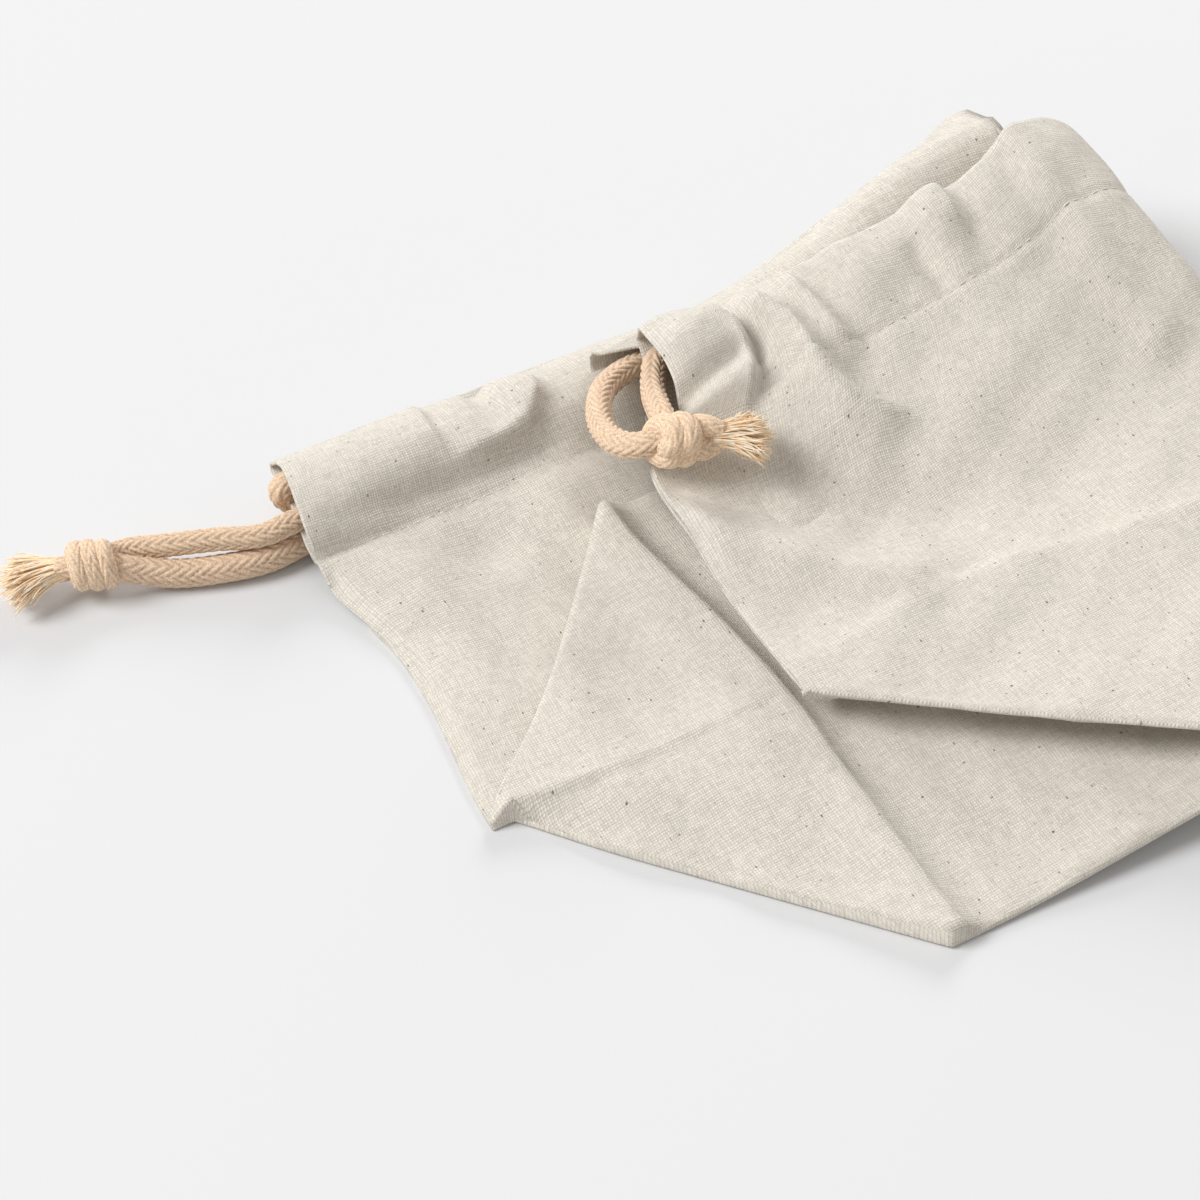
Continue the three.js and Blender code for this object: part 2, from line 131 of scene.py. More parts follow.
# Soft swells of each layer: middle, half widths and rise
SWELLS = {
    "front": [
        Swell(12, 54, 14, 12, 1.0),
        Swell(28, 57, 13, 9, -1.6),
        Swell(20, 34, 14, 14, -0.9),
        Swell(50, 62, 12, 10, 1.2),
        Swell(72, 60, 12, 14, -1.2),
        Swell(14, 82, 15, 22, 0.5),
        Swell(36.5, 82, 7, 11, 1.0),
        Swell(43.5, 88, 3.5, 14, -2.2),
        Swell(48, 84, 5, 13, 1.5),
        Swell(58, 84, 7, 18, -0.6),
        Swell(68, 84, 12, 20, 1.2),
        Swell(92, 82, 14, 20, 0.6),
    ],
    "base": [
        Swell(24, -14, 18, 16, 0.9),
        Swell(36, 22, 12, 12, -0.8),
        Swell(20, 12, 12, 9, 0.7),
        Swell(45, -30, 9, 16, -0.8),
        Swell(84, -34, 26, 20, 1.0),
        Swell(110, -14, 26, 26, -0.9),
    ],
    "back": [
        Swell(276, -14, 40, 20, -0.8),
        Swell(244, 46, 34, 22, 1.6),
        Swell(226, 20, 22, 30, 1.2),
        Swell(304, 84, 12, 24, 4.0),
        Swell(262, 82, 10, 24, 1.6),
        Swell(243, 86, 7, 20, 2.0),
        Swell(228, 84, 8, 20, 1.4),
    ],
}

# Creases of each layer along a line of (u, y) points. A ridge rises by height over width on both sides,
# and is a groove where height is negative. A step is high on the left of its line and low on the right,
# and dies away over width. A lap falls over width on the left, and over its lee share of that on the right.
Crease = namedtuple("Crease", "kind points width height lee", defaults=(0.17,))
CREASES = {
    "front": [
        Crease("lap", [(30.7, 71), (30.1, 76), (29.7, 80), (31.1, 97)], 6, 1.9),
        Crease("lap", [(28, 73.8), (38, 73.6), (45.1, 74.6), (48.5, 76), (52, 80), (53, 90)], 4.5, 2.8),
        Crease("ridge", [(42, 67), (44.8, 58), (48, 49)], 4.5, 0.9),
    ],
    "base": [
        Crease("step", [(54.4, -2.8), (26, -2.4), (12, -1), (-4, -0.4)], 4, -0.32),
        Crease("step", [(22, -2.1), (12, -1), (-4, -0.4)], 4, -0.25),
    ],
    "back": [
        Crease("lap", [(309, 3.6), (300, 6.3), (286, 8.1), (264, 9), (247, 3.6), (222, -1)], 9, 1.1),
        Crease("ridge", [(312, 50), (302, 37), (291, 24), (281, 15)], 6, 3.0),
        Crease("ridge", [(304, 58), (290, 44), (266, 28)], 8, -2.0),
        Crease(
            "lap",
            [(297, 95), (294.2, 88), (292.3, 82.5), (292.4, 77), (293.4, 70), (294, 62)],
            10, 4.6, 0.13,
        ),
        Crease("ridge", [(294.5, 92), (291.6, 86), (289.8, 81), (289.9, 77), (290.3, 74.5)], 1.9, -1.8),
        Crease("ridge", [(309, 71.5), (302.8, 73.7), (298.3, 74.9), (294.5, 75.8)], 2.6, -2.0),
        Crease(
            "lap",
            [(288, 93), (282.4, 79.5), (279.4, 68), (277, 62.4), (273.5, 57), (268, 52), (261, 47)],
            5.5, 5.2, 0.3,
        ),
        Crease("lap", [(277, 95), (275.3, 82), (273.6, 74.5), (271, 69), (267, 64)], 5, 3.2, 0.2),
        Crease("lap", [(239.4, 99), (238.4, 86), (238, 77)], 7, 2.8, 0.14),
        Crease("ridge", [(249, 82), (248.4, 77), (247.6, 73.5)], 3, -1.6),
        Crease("ridge", [(215.5, 92), (214.5, 74), (212, 53), (210, 40)], 4.5, 2.4),
    ],
}
LAP_ROUND, LAP_FADE = 0.4, 9
STEP_EDGE, STEP_FADE = 0.5, 4
# The boxed corner's seam: where it runs, its ridge, which is lower and steeper below the ear tips, the
# broad swell under it and the dip beyond it
BOX_SEAM = SimpleNamespace(
    u=55.2, lean=4.6, y=-3,
    height=1.8, low_share=0.45, grow_from=-25, grow_span=40, near=5.0, far_below=0.9, far_above=2.2,
    broad=1.6, left=44, right=16, dip=1.3, dip_at=4, dip_span=7,
)
STITCH_DIP, STITCH_WIDTH = 0.36, 0.9
# The gathers hide the front's stitches over this stretch
HIDDEN_FROM, HIDDEN_TO, HIDDEN_FADE = 41, 72, 4
RUMPLE_SEED, RUMPLE_WAVES, RUMPLE_LENGTHS = 7, 12, (11, 44)

# Where the seen stitch line of the doubled-over half strays from the flat cut's
STITCH_DRIFT = [
    (0, 0), (150, 0), (185, 3), (205, 4), (232, 3), (262, 1.5), (279, 1), (296, -1), (FLAT_WIDTH, -1),
]
# The lower edge stands clear of the table beyond the left ear
LIFT = Swell(u=122, y=-58, du=66, dy=44, rise=6.0)
# The left ear's tip is drawn up a little
TIP = Swell(u=0, y=0, du=20, dy=30, rise=1.6)
# The casing's left end slants in towards the mouth
TUCK = Swell(u=0, y=STITCH, du=30, dy=CASING_DEPTH, rise=2.8)
# The right side seam lies further out between the ear and the slit
FLARE = Swell(u=FLAT_WIDTH, y=64, du=26, dy=24, rise=5.5)
FLARE_ABOVE = 7
CASING_INSET = 2.2

# The front casing's end stands out from under the back casing's end at the right slit, and is open in
# full from a share of the way up its walls
HOOD = SimpleNamespace(
    u=284, du=26, up=10, rise=2.4, room=2.0, full=0.4, out=2.2, draw=8, draw_y=82, draw_span=10,
    corner_u=298, corner_y=83, droop=3.4, sag=2.4,
)
SLIT_RAMP = 8
# The back lies in behind the front at the left slit
BACK_TUCK = Swell(u=0, y=50, du=30, dy=18, rise=5.5)

CORD_SEATS = {"left": 0.43, "right": 0.65}
FRONT_SEAT, BACK_SEAT = 10.4, 4.2
# A cord that has its seat low in the casings lies lower still where it comes out of the left slit
CORD_DROOP = SimpleNamespace(down=2.2, front=3.0, back=1.4, reach=40, seat=0.5, ease=0.1)
# How far across the bag each cord's front and back runs go
CORD_ENDS = {"left": (297, 297), "right": (293, 298)}
# A cord's ends outside the bag: its knot's middle and heading, the lengths of tail and tuft, and the
# strands from the slit to the knot
Tie = namedtuple("Tie", "middle heading tail tuft front back")
TIES = {
    "left": Tie(
        middle=(-35.3, 86.6, 5.7),
        heading=162,
        tail=5.6,
        tuft=11,
        front=[(-6, 77.0, 7.2), (-13.7, 80.4, 7.0), (-21.5, 84.0, 6.3), (-28.6, 86.8, 6.0)],
        back=[
            (-6, 75.4, 2.8), (-13.3, 76.8, 2.8), (-21.5, 79.8, 2.8),
            (-27.2, 82.4, 4.0), (-30.4, 83.9, 5.0),
        ],
    ),
    "right": Tie(
        middle=(61.6, 44.0, 26.2),
        heading=-20,
        tail=7.0,
        tuft=9.5,
        front=[
            (72.8, 75.2, 15.9), (67.4, 74.4, 16.5), (62.2, 71.8, 17.1), (58.2, 67.5, 17.9),
            (54.7, 60.4, 19.6), (53.4, 52.6, 22.5), (54.9, 47.8, 24.8),
        ],
        back=[
            (71.2, 68.2, 22.7), (67.9, 64.6, 22.7), (65.0, 59.6, 23.6),
            (62.8, 54.2, 25.2), (61.4, 49.8, 26.4),
        ],
    ),
}
Knot = namedtuple("Knot", "wrap strand beside turns start end lean core lobe")
KNOTS = {
    "left": Knot(
        wrap=3.0, strand=1.8, beside=1.05, turns=-1.9, start=-3.0, end=2.2, lean=0.9, core=3.4, lobe=1.2
    ),
    "right": Knot(
        wrap=2.8, strand=2.2, beside=1.3, turns=-1.1, start=-3.0, end=-0.2, lean=2.2, core=2.5, lobe=2.7
    ),
}


def smooth(t):
    """From 0 to 1 with level ends, for t from 0 to 1."""
    t = np.clip(t, 0, 1)
    return t * t * (3 - 2 * t)


def bump(t):
    """1 where t is 0, and smoothly down to 0 at -1 and 1."""
    return np.where(np.abs(t) < 1, 0.5 + 0.5 * np.cos(np.pi * np.clip(t, -1, 1)), 0.0)


def lerp(a, b, t):
    """From a to b as t goes from 0 to 1."""
    return a + (b - a) * t


def unit(vectors):
    """Vectors made 1 long."""
    return vectors / np.maximum(np.linalg.norm(vectors, axis=-1, keepdims=True), TINY)


def lay_at(y):
    """The sizes of the doubling-over at height y up the bag."""
    share = smooth((y - LAY_FROM) / LAY_SPAN)
    reach, radius, rise, landing = (lerp(a, b, share) for a, b in zip(BASE_LAY, MOUTH_LAY))
    centre = reach - radius
    slope = np.arctan(2 * rise / (centre - RISE_START))
    turn_start = centre + radius * np.sin(slope)
    turn_end = turn_start + radius * (np.pi - slope)
    return radius, rise, landing, centre, slope, turn_start, turn_end


def doubled_over(u, y):
    """How far across and how high the doubled-over stack lies, and how it is tilted there."""
    radius, rise, landing, centre, slope, turn_start, turn_end = lay_at(y)
    top = rise + radius * (1 + np.cos(slope))

    span = turn_start - RISE_START
    t = np.maximum(u - RISE_START, 0) / span
    waist = bump((y - WAIST.y) / np.where(y < WAIST.y, WAIST.below, WAIST.above))
    waist = WAIST.inset * waist * (1 - smooth(u / WAIST.reach))
    lower = u + waist, rise * t * t, np.arctan(2 * rise * t / span)

    tilt = slope + (u - turn_start) / radius
    turning = centre + radius * np.sin(tilt), top - radius - radius * np.cos(tilt), tilt

    along = u - turn_end
    t = np.clip(along / FALL_LENGTH, 0, 1)
    # 6 t (1 - t) is the slope of smooth(t)
    drop = (top - landing) * 6 * t * (1 - t) / FALL_LENGTH
    upper = centre - along, lerp(top, landing, smooth(t)), np.pi + np.arctan(drop)

    halves = [u <= turn_start, u < turn_end]
    return [np.select(halves, (a, b), c) for a, b, c in zip(lower, turning, upper)]


def place(u, y, w, parts=""):
    """Where points of the flat stack come to lie, in millimetres of the part's frame."""
    u, y, w = np.broadcast_arrays(*(np.asarray(v, float) for v in (u, y, w)))
    x, z, tilt = doubled_over(u, y)
    pull = lerp(PULL.base, PULL.mouth, (y + HALF_DEPTH) / (MOUTH + HALF_DEPTH))
    shift = pull * smooth((u - PULL.start) / PULL.length)
    z = z + LIFT.rise * bump((u - LIFT.u) / LIFT.du) * bump(np.minimum(y - LIFT.y, LIFT.dy) / LIFT.dy)
    x = x + TUCK.rise * smooth((y - TUCK.y) / TUCK.dy) * (1 - smooth((u - TUCK.u) / TUCK.du))
    x = x + GATHER.rise * smooth((y - GATHER.y) / GATHER.dy) * smooth((u - GATHER.u) / GATHER.du)
    shift = shift - TIP.rise * bump((u - TIP.u) / TIP.du) * bump((y - TIP.y) / TIP.dy)
    shift = shift - PEAK.rise * bump((u - PEAK.u) / PEAK.du) * smooth((y - PEAK.y) / PEAK.dy)
    apart = smooth((y - STITCH) / SLIT_RAMP)
    if parts == "front":
        end = smooth((u - HOOD.u) / HOOD.du)
        corner = smooth((u - HOOD.corner_u) / (FLAT_WIDTH - HOOD.corner_u))
        corner = corner * smooth((y - HOOD.corner_y) / (MOUTH - HOOD.corner_y))
        drawn = HOOD.draw * end * bump((y - HOOD.draw_y) / HOOD.draw_span)
        x = x - HOOD.droop * corner - HOOD.out * end * apart + drawn
        z = z - HOOD.sag * corner
        shift = shift - HOOD.up * apart * end + HOOD.droop * corner
    if parts == "back":
        inner = 1 - smooth((u - BACK_TUCK.u) / BACK_TUCK.du)
        x = x + BACK_TUCK.rise * smooth((y - BACK_TUCK.y) / BACK_TUCK.dy) * inner
    flare = bump((y - FLARE.y) / np.where(y < FLARE.y, FLARE.dy, FLARE_ABOVE))
    flare = FLARE.rise * flare - CASING_INSET * smooth((y - FLARE.y) / FLARE_ABOVE)
    x = x - flare * smooth(1 - (FLARE.u - u) / FLARE.du)
    return np.stack(
        [x - w * np.sin(tilt) - ORIGIN[0], y - shift - ORIGIN[1], z + w * np.cos(tilt)], axis=-1
    )


def from_side(u):
    """How far in from the nearer side seam."""
    return np.minimum(u, FLAT_WIDTH - u)


def pitch_at(u):
    """The distance from layer to layer."""
    return LAYER_PITCH * lerp(EDGE_PITCH, 1, smooth(from_side(u) / EDGE_PITCH_REACH))


def base_edge(u):
    """How far below the ear tips the base is folded."""
    left = (u - LEFT_EAR.start) * LEFT_EAR.slope_below
    right = (FLAT_WIDTH - u - RIGHT_EAR.start) * RIGHT_EAR.slope_below
    depth = lerp(LEFT_EAR.below, RIGHT_EAR.below, smooth((u - BELOW_FROM) / DEPTH_SPAN))
    return -np.clip(np.minimum(left, right), EAR_TIP, depth)


def flap_edge(u):
    """How far above the ear tips the base lies over the front."""
    left = u * LEFT_EAR.slope_above
    right = (FLAT_WIDTH - u) * RIGHT_EAR.slope_above
    depth = lerp(LEFT_EAR.above, RIGHT_EAR.above, smooth((u - ABOVE_FROM) / DEPTH_SPAN))
    return np.clip(np.minimum(left, right), EAR_TIP, depth)


def front_height(u, y):
    """Height of the front panel, which rises to the foot of its casing."""
    rising = smooth((y - FRONT_RISE_FROM) / (STITCH - FRONT_RISE_FROM))
    return lerp(FLOOR_LAYER + pitch_at(u), WALLS[0].slit, rising)


def base_height(u, y):
    """Height of the folded base, which lies over the front's two layers and turns under at its edge."""
    over = front_height(u, np.maximum(y, 0)) + 2 * pitch_at(u)
    low = FLOOR_LAYER + BASE_FOLD_PITCH
    return lerp(over, low, smooth(y / base_edge(u)))


def column(name):
    """One column of the walls' heights."""
    return [getattr(row, name) for row in WALLS]


def stand_share(u):
    """How much the front casing stands up beside the fold."""
    return bump((u - STAND.u) / np.where(u < STAND.u, STAND.before, STAND.after))


def pressed(u, share):
    """How much of its height a casing or a cord keeps under the doubled-over half."""
    return 1 - share * smooth((u - PRESS.start) / PRESS.lead) * (1 - smooth((u - PRESS.end) / PRESS.trail))


def wall_height(name, u, at):
    """Height of one wall of a casing, with the stretch that stands up beside the fold."""
    heights = np.interp(at, column("at"), column(name))
    if name == "run":
        slit, pleats = (np.interp(at, column("at"), column(k)) for k in ("slit", "pleats"))
        heights = lerp(pleats, heights, smooth((u - PLEATS_END) / PLEATS_FADE))
        heights = lerp(slit, heights, smooth(from_side(u) / SLIT_REACH))
    heights = heights * lerp(1, pressed(u, PRESS.share), smooth(at / PRESS.full))
    open_end = smooth((u - HOOD.u) / HOOD.du) * smooth(at / HOOD.full)
    if name == "front_inner":
        heights = heights - HOOD.rise * open_end
    if name == "run":
        heights = heights + HOOD.room * open_end
    if name == "back_inner":
        return heights
    seat = np.interp(at, column("at"), column("seat"))
    stand = stand_share(u)
    if name == "front_inner":
        stand = stand * (1 - smooth((u - STAND.u + STAND.lead) / STAND.fall))
    return seat + (heights - seat) * (1 + STAND.fuller * stand) + STAND.rise * at * stand


def line_field(points, u, y):
    """Distance from a line of points, which side, and how near the line's own ends."""
    best = np.full(u.shape, np.inf)
    side = np.zeros(u.shape)
    ends = np.zeros(u.shape)
    points = np.array(points, float)
    total = np.linalg.norm(np.diff(points, axis=0), axis=1).sum()
    gone = 0.0
    for (u0, y0), (u1, y1) in zip(points[:-1], points[1:]):
        length = math.hypot(u1 - u0, y1 - y0)
        du, dy = (u1 - u0) / length, (y1 - y0) / length
        t = np.clip((u - u0) * du + (y - y0) * dy, 0, length)
        distance = np.hypot(u - u0 - t * du, y - y0 - t * dy)
        nearer = distance < best
        best = np.where(nearer, distance, best)
        side = np.where(nearer, np.sign(du * (y - y0) - dy * (u - u0)), side)
        ends = np.where(nearer, np.minimum(gone + t, total - gone - t), ends)
        gone += length
    return best, side, ends


def crease_rise(crease, u, y):
    """Rise of a ridge, a lap or a step."""
    distance, side, ends = line_field(crease.points, u, y)
    if crease.kind == "ridge":
        return crease.height * np.exp(-((distance / crease.width) ** 2))
    if crease.kind == "lap":
        away = np.hypot(distance, LAP_ROUND) - LAP_ROUND
        width = crease.width * np.where(side > 0, 1, crease.lee)
        return crease.height * np.exp(-away / width) * smooth(ends / LAP_FADE)
    edge = np.tanh(side * distance / STEP_EDGE)
    return crease.height * edge * np.exp(-distance / crease.width) * smooth(ends / STEP_FADE)


def box_seam_rises(u, y):
    """The ridge of the boxed corner's seam, the swell under it and the dip beyond it."""
    away = u - (BOX_SEAM.u - BOX_SEAM.lean * smooth((y - BOX_SEAM.y) / (HALF_DEPTH - BOX_SEAM.y)))
    above = smooth((y - BOX_SEAM.grow_from) / BOX_SEAM.grow_span)
    near = np.exp(np.minimum(away, 0) / BOX_SEAM.near)
    far = np.exp(-np.maximum(away, 0) / lerp(BOX_SEAM.far_below, BOX_SEAM.far_above, above))
    ridge = BOX_SEAM.height * lerp(BOX_SEAM.low_share, 1, above) * near * far
    swell = BOX_SEAM.broad * bump(away / np.where(away < 0, BOX_SEAM.left, BOX_SEAM.right))
    dip = -BOX_SEAM.dip * bump((away - BOX_SEAM.dip_at) / BOX_SEAM.dip_span)
    return ridge, swell, dip


def relief(layer, u, y):
    """Rise of the front, the back or the base over its smooth form, outward."""
    rise = np.zeros(u.shape)
    for swell in SWELLS[layer]:
        rise += swell.rise * bump((u - swell.u) / swell.du) * bump((y - swell.y) / swell.dy)
    for crease in CREASES[layer]:
        rise += crease_rise(crease, u, y)
    if layer == "base":
        for more in box_seam_rises(u, y):
            rise += more
    else:
        away = y - stitch_line(layer, u)
        rise -= STITCH_DIP * np.exp(-((away / STITCH_WIDTH) ** 2)) * stitches_show(layer, u)
    return rise


def stitches_show(layer, u):
    """1 where a casing's stitches are seen, 0 where the gathers hide them."""
    if layer == "back":
        return 1.0
    inside = np.minimum(u - HIDDEN_FROM, HIDDEN_TO - u)
    return 1 - smooth(inside / HIDDEN_FADE)


def stitch_line(layer, u):
    """How far up the bag a casing's stitches run."""
    if layer == "front":
        return np.full(np.shape(u), float(STITCH))
    return STITCH + np.interp(u, *np.array(STITCH_DRIFT).T)


def rumple(u, y):
    """Gentle unevenness of soft cloth, from -1 to 1 or so."""
    draw = np.random.default_rng(RUMPLE_SEED)
    total = np.zeros(np.shape(u))
    for _ in range(RUMPLE_WAVES):
        heading, phase = draw.uniform(0, 2 * math.pi, 2)
        length = draw.uniform(*RUMPLE_LENGTHS)
        total += np.sin((u * math.cos(heading) + y * math.sin(heading)) * 2 * math.pi / length + phase)
    return total / math.sqrt(RUMPLE_WAVES)


def by_density(fine, density, count):
    """Places along a fine row, closer together where the density is greater."""
    share = np.concatenate([[0], np.cumsum((density[1:] + density[:-1]) / 2)])
    return np.interp(np.linspace(0, share[-1], count), share, fine)


# Places across the bag: how many, and (middle, half width, more) where they lie closer
STATION_COUNT, FINE_STATIONS = 190, 6201
EVEN_DENSITY = 0.36
STATION_DENSITY = [
    (0, 5, 1.1), (FLAT_WIDTH, 5, 1.1), (30, 3, 1.3), (50, 5, 0.7), (54.5, 6, 1.2), (293, 6, 1.0),
    (281, 8, 0.9), (274, 5, 0.7), (248, 5, 0.3), (238, 4, 0.8), (190, 28, 0.2),
]


def stations():
    """Places across the bag, closer at the edges, seams, pleats and the fold."""
    fine = np.linspace(0, FLAT_WIDTH, FINE_STATIONS)
    density = np.full(fine.shape, EVEN_DENSITY)
    for middle, span, more in STATION_DENSITY:
        density += more * bump((fine - middle) / span)
    return by_density(fine, density, STATION_COUNT)


# Rows of points along each stretch of the cloth: how many, and where and how much closer they lie
Rows = namedtuple("Rows", "count middle tight")
CASING_ROWS = Rows(34, 0.25, 1.2)
BACK_ROWS = Rows(58, 0.55, 1.6)
BASE_ROWS = Rows(58, 0.5, 2.0)
FINE_ROWS, TIGHT_SPAN = 2001, 0.06
HEM_ROWS, FLAP_ROWS, FRONT_ROWS, TURN_ROWS = 7, 6, 36, 4
# The front's rows lie a little closer near its casing
FRONT_CROWD = 0.8
# The flap's height in layer pitches over the front, and how far it stays clear of the base's fold
FLAP_SHARE, FLAP_CLEAR = 1.35, 0.3

# A stretch of the cloth: its layer, rows up the bag, heights, the way its outer face looks (1 is up) and
# the casing whose end it follows at the slits
Stretch = namedtuple("Stretch", "layer y w outward parts", defaults=("",))


def fold(y, low, high, outward, parts=""):
    """The turn from one layer to the next, between heights low and high."""
    radius = np.abs(high - low) / 2
    angle = np.pi * np.arange(1, TURN_ROWS + 1) / (TURN_ROWS + 1)
    turn_y = y + outward * radius * np.sin(angle)
    turn_w = lerp(low, high, (1 - np.cos(angle)) / 2)
    return Stretch("turn", turn_y, turn_w, 0, parts)


def spread(rows):
    """Shares from 0 to 1, closer together about the rows' middle."""
    fine = np.linspace(0, 1, FINE_ROWS)
    return by_density(fine, 1 + rows.tight * bump((fine - rows.middle) / TIGHT_SPAN), rows.count)


def section(u):
    """The cloth's whole path across the bag at each u: back casing, back, base, flap, front, casing."""
    u = u[:, None]
    low, high, pitch = base_edge(u), flap_edge(u), pitch_at(u)
    inset = (2 - FLAP_SHARE) * pitch / 2 + FLAP_CLEAR
    low_in = low + BASE_FOLD_PITCH / 2
    high_in = high - inset
    outer = spread(CASING_ROWS)[None, :]
    inner = np.linspace(0, 1, HEM_ROWS)[None, :]
    casing_y = STITCH + CASING_DEPTH * outer + 0 * u
    hem_y = STITCH + CASING_DEPTH * inner + 0 * u
    front_casing_y = STITCH + FRONT_DEPTH * outer + 0 * u
    front_hem_y = STITCH + FRONT_DEPTH * inner + 0 * u
    front_mouth = STITCH + FRONT_DEPTH
    back_y = lerp(STITCH, low_in, spread(BACK_ROWS)[None, 1:-1])
    base_y = lerp(low_in, high_in, spread(BASE_ROWS)[None, :])
    flap_y = lerp(high_in, inset, np.linspace(0, 1, FLAP_ROWS)[None, :])
    front_y = lerp(inset, STITCH, (np.linspace(0, 1, FRONT_ROWS) ** FRONT_CROWD)[None, :-1])
    back_in = wall_height("back_inner", u, inner)
    front_in = wall_height("front_inner", u, inner)
    front_out = wall_height("run", u, outer)
    back_out = FLOOR_LAYER + 0 * casing_y
    flat_back = FLOOR_LAYER + 0 * back_y
    flap_w = front_height(u, flap_y) + FLAP_SHARE * pitch
    return [
        Stretch("hem", hem_y, back_in, 1, "back"),
        fold(MOUTH, back_in[:, -1:], back_out[:, -1:], 1, "back"),
        Stretch("back_casing", casing_y[:, ::-1], back_out, -1, "back"),
        Stretch("back", back_y, flat_back, -1, "back"),
        fold(low_in, FLOOR_LAYER + 0 * u, FLOOR_LAYER + BASE_FOLD_PITCH + 0 * u, -1),
        Stretch("base", base_y, base_height(u, base_y), 1),
        fold(high_in, base_height(u, high_in), flap_w[:, :1], 1),
        Stretch("flap", flap_y, flap_w, 1),
        fold(inset, flap_w[:, -1:], front_height(u, inset), -1),
        Stretch("front", front_y, front_height(u, front_y), 1),
        Stretch("front_casing", front_casing_y, front_out, 1, "front"),
        fold(front_mouth, front_out[:, -1:], front_in[:, -1:], 1, "front"),
        Stretch("hem", front_hem_y[:, ::-1], front_in[:, ::-1], 1, "front"),
    ]


# Each stretch has its own place on the cut's map, this far from the one before
PATCH = 400
# The underside lies flat on the table up to here, and has its relief beyond
FLAT_BELOW, FLAT_FADE = 165, 25
# The layers are drawn together at the side seams, up to just below the stitch line
SEAM_REACH, SEAM_SHARE = 3.5, 0.3
SEAM_TOP, SEAM_FADE = STITCH - 1, 5
SEWN = ("back", "base", "flap", "front", "turn")
RUMPLED = ("back", "back_casing", "base", "front", "front_casing")


def cloth_heights(stretch, u, rumple_depth):
    """Heights of a stretch with its relief, drawn together at the side seams."""
    w = stretch.w + 0 * stretch.y
    if stretch.layer in RUMPLED:
        rise = relief(stretch.layer.split("_")[0], u, stretch.y) + rumple_depth * rumple(u, stretch.y)
        if stretch.outward < 0:
            rise = rise * smooth((u - FLAT_BELOW) / FLAT_FADE)
        w = w + stretch.outward * rise
    if stretch.layer in SEWN:
        closed = (1 - smooth(from_side(u) / SEAM_REACH)) * smooth((SEAM_TOP - stretch.y) / SEAM_FADE)
        w = lerp(w, FLOOR_LAYER + SEAM_SHARE * (w - FLOOR_LAYER), closed)
    return w


def cloth_grid(rumple_depth):
    """Points of the cloth's middle surface, and where each step along it leaves and arrives on the cut."""
    u = stations()
    points, leave, arrive = [], [], []
    for index, stretch in enumerate(section(u)):
        across = np.broadcast_to(u[:, None], stretch.y.shape)
        laid = place(across, stretch.y, cloth_heights(stretch, across, rumple_depth), stretch.parts)
        along = stretch.y + PATCH * index
        # A casing's rows lie on the cut by their true distance, so that its weave isn't drawn out
        if stretch.layer.endswith("casing"):
            steps = np.linalg.norm(np.diff(laid, axis=1), axis=-1)
            gone = np.cumsum(np.pad(steps, ((0, 0), (1, 0))), axis=1)
            along = along[:, :1] + np.sign(along[:, 1:2] - along[:, :1]) * gone
        arrival = along.copy()
        # A turn, and the step into any stretch, carry on from the map of the stretch before
        if points:
            stepped = np.concatenate([points[-1][:, -1:], laid], axis=1)
            gone = np.cumsum(np.linalg.norm(np.diff(stepped, axis=1), axis=-1), axis=1)
            carried = leave[-1][:, -1:] + np.sign(leave[-1][:, -1:] - leave[-1][:, -2:-1]) * gone
            if stretch.layer == "turn":
                along = arrival = carried
            else:
                arrival[:, 0] = carried[:, 0]
        points.append(laid)
        leave.append(along)
        arrive.append(arrival)
    points, leave, arrive = (np.concatenate(part, axis=1) for part in (points, leave, arrive))
    across = np.broadcast_to(u[:, None], leave.shape)
    return points, np.stack([across, leave], axis=-1), np.stack([across, arrive], axis=-1)


def new_mesh(name, points, faces, finish):
    """A smooth piece in the scene, from points in millimetres."""
    mesh = bpy.data.meshes.new(name)
    mesh.from_pydata((np.asarray(points) * MM).tolist(), [], [list(map(int, f)) for f in faces])
    mesh.validate()
    mesh.shade_smooth()
    mesh.materials.append(finish)
    piece = bpy.data.objects.new(name, mesh)
    bpy.context.scene.collection.objects.link(piece)
    return piece


def grid_faces(rows, columns, wrap=False):
    """Quads over a grid of points stored row by row."""
    i, j = np.meshgrid(np.arange(rows - 1), np.arange(columns if wrap else columns - 1), indexing="ij")
    a = i * columns + j
    b = i * columns + (j + 1) % columns
    return np.stack([a, b, b + columns, a + columns], axis=-1).reshape(-1, 4)


def sheet_mesh(name, grid, leave, arrive, thickness, finish):
    """A closed thin sheet about a grid of points, with a map of its places on the cut."""
    rows, columns = grid.shape[:2]
    normals = unit(np.cross(np.gradient(grid, axis=0), np.gradient(grid, axis=1)))
    half = thickness / 2
    points = np.concatenate([(grid + half * normals).reshape(-1, 3), (grid - half * normals).reshape(-1, 3)])
    under = rows * columns
    faces = grid_faces(rows, columns)
    rim = np.concatenate([
        np.arange(columns),
        np.arange(2, rows + 1) * columns - 1,
        (rows - 1) * columns + np.arange(columns - 2, -1, -1),
        np.arange(rows - 2, 0, -1) * columns,
    ])
    after = np.roll(rim, -1)
    edge = np.stack([rim, rim + under, after + under, after], axis=-1)
    piece = new_mesh(name, points, np.concatenate([faces, faces[:, ::-1] + under, edge]), finish)
    leave, arrive = leave.reshape(-1, 2), arrive.reshape(-1, 2)
    a, b, c, d = faces.T
    corners = np.stack([leave[a], arrive[b], arrive[c], leave[d]], axis=1)
    places = np.concatenate([corners, corners[:, ::-1], leave[edge % under]]).reshape(-1, 2) * MM
    piece.data.uv_layers.new(name="cut").uv.foreach_set("vector", places.astype(np.float32).ravel())
    return piece


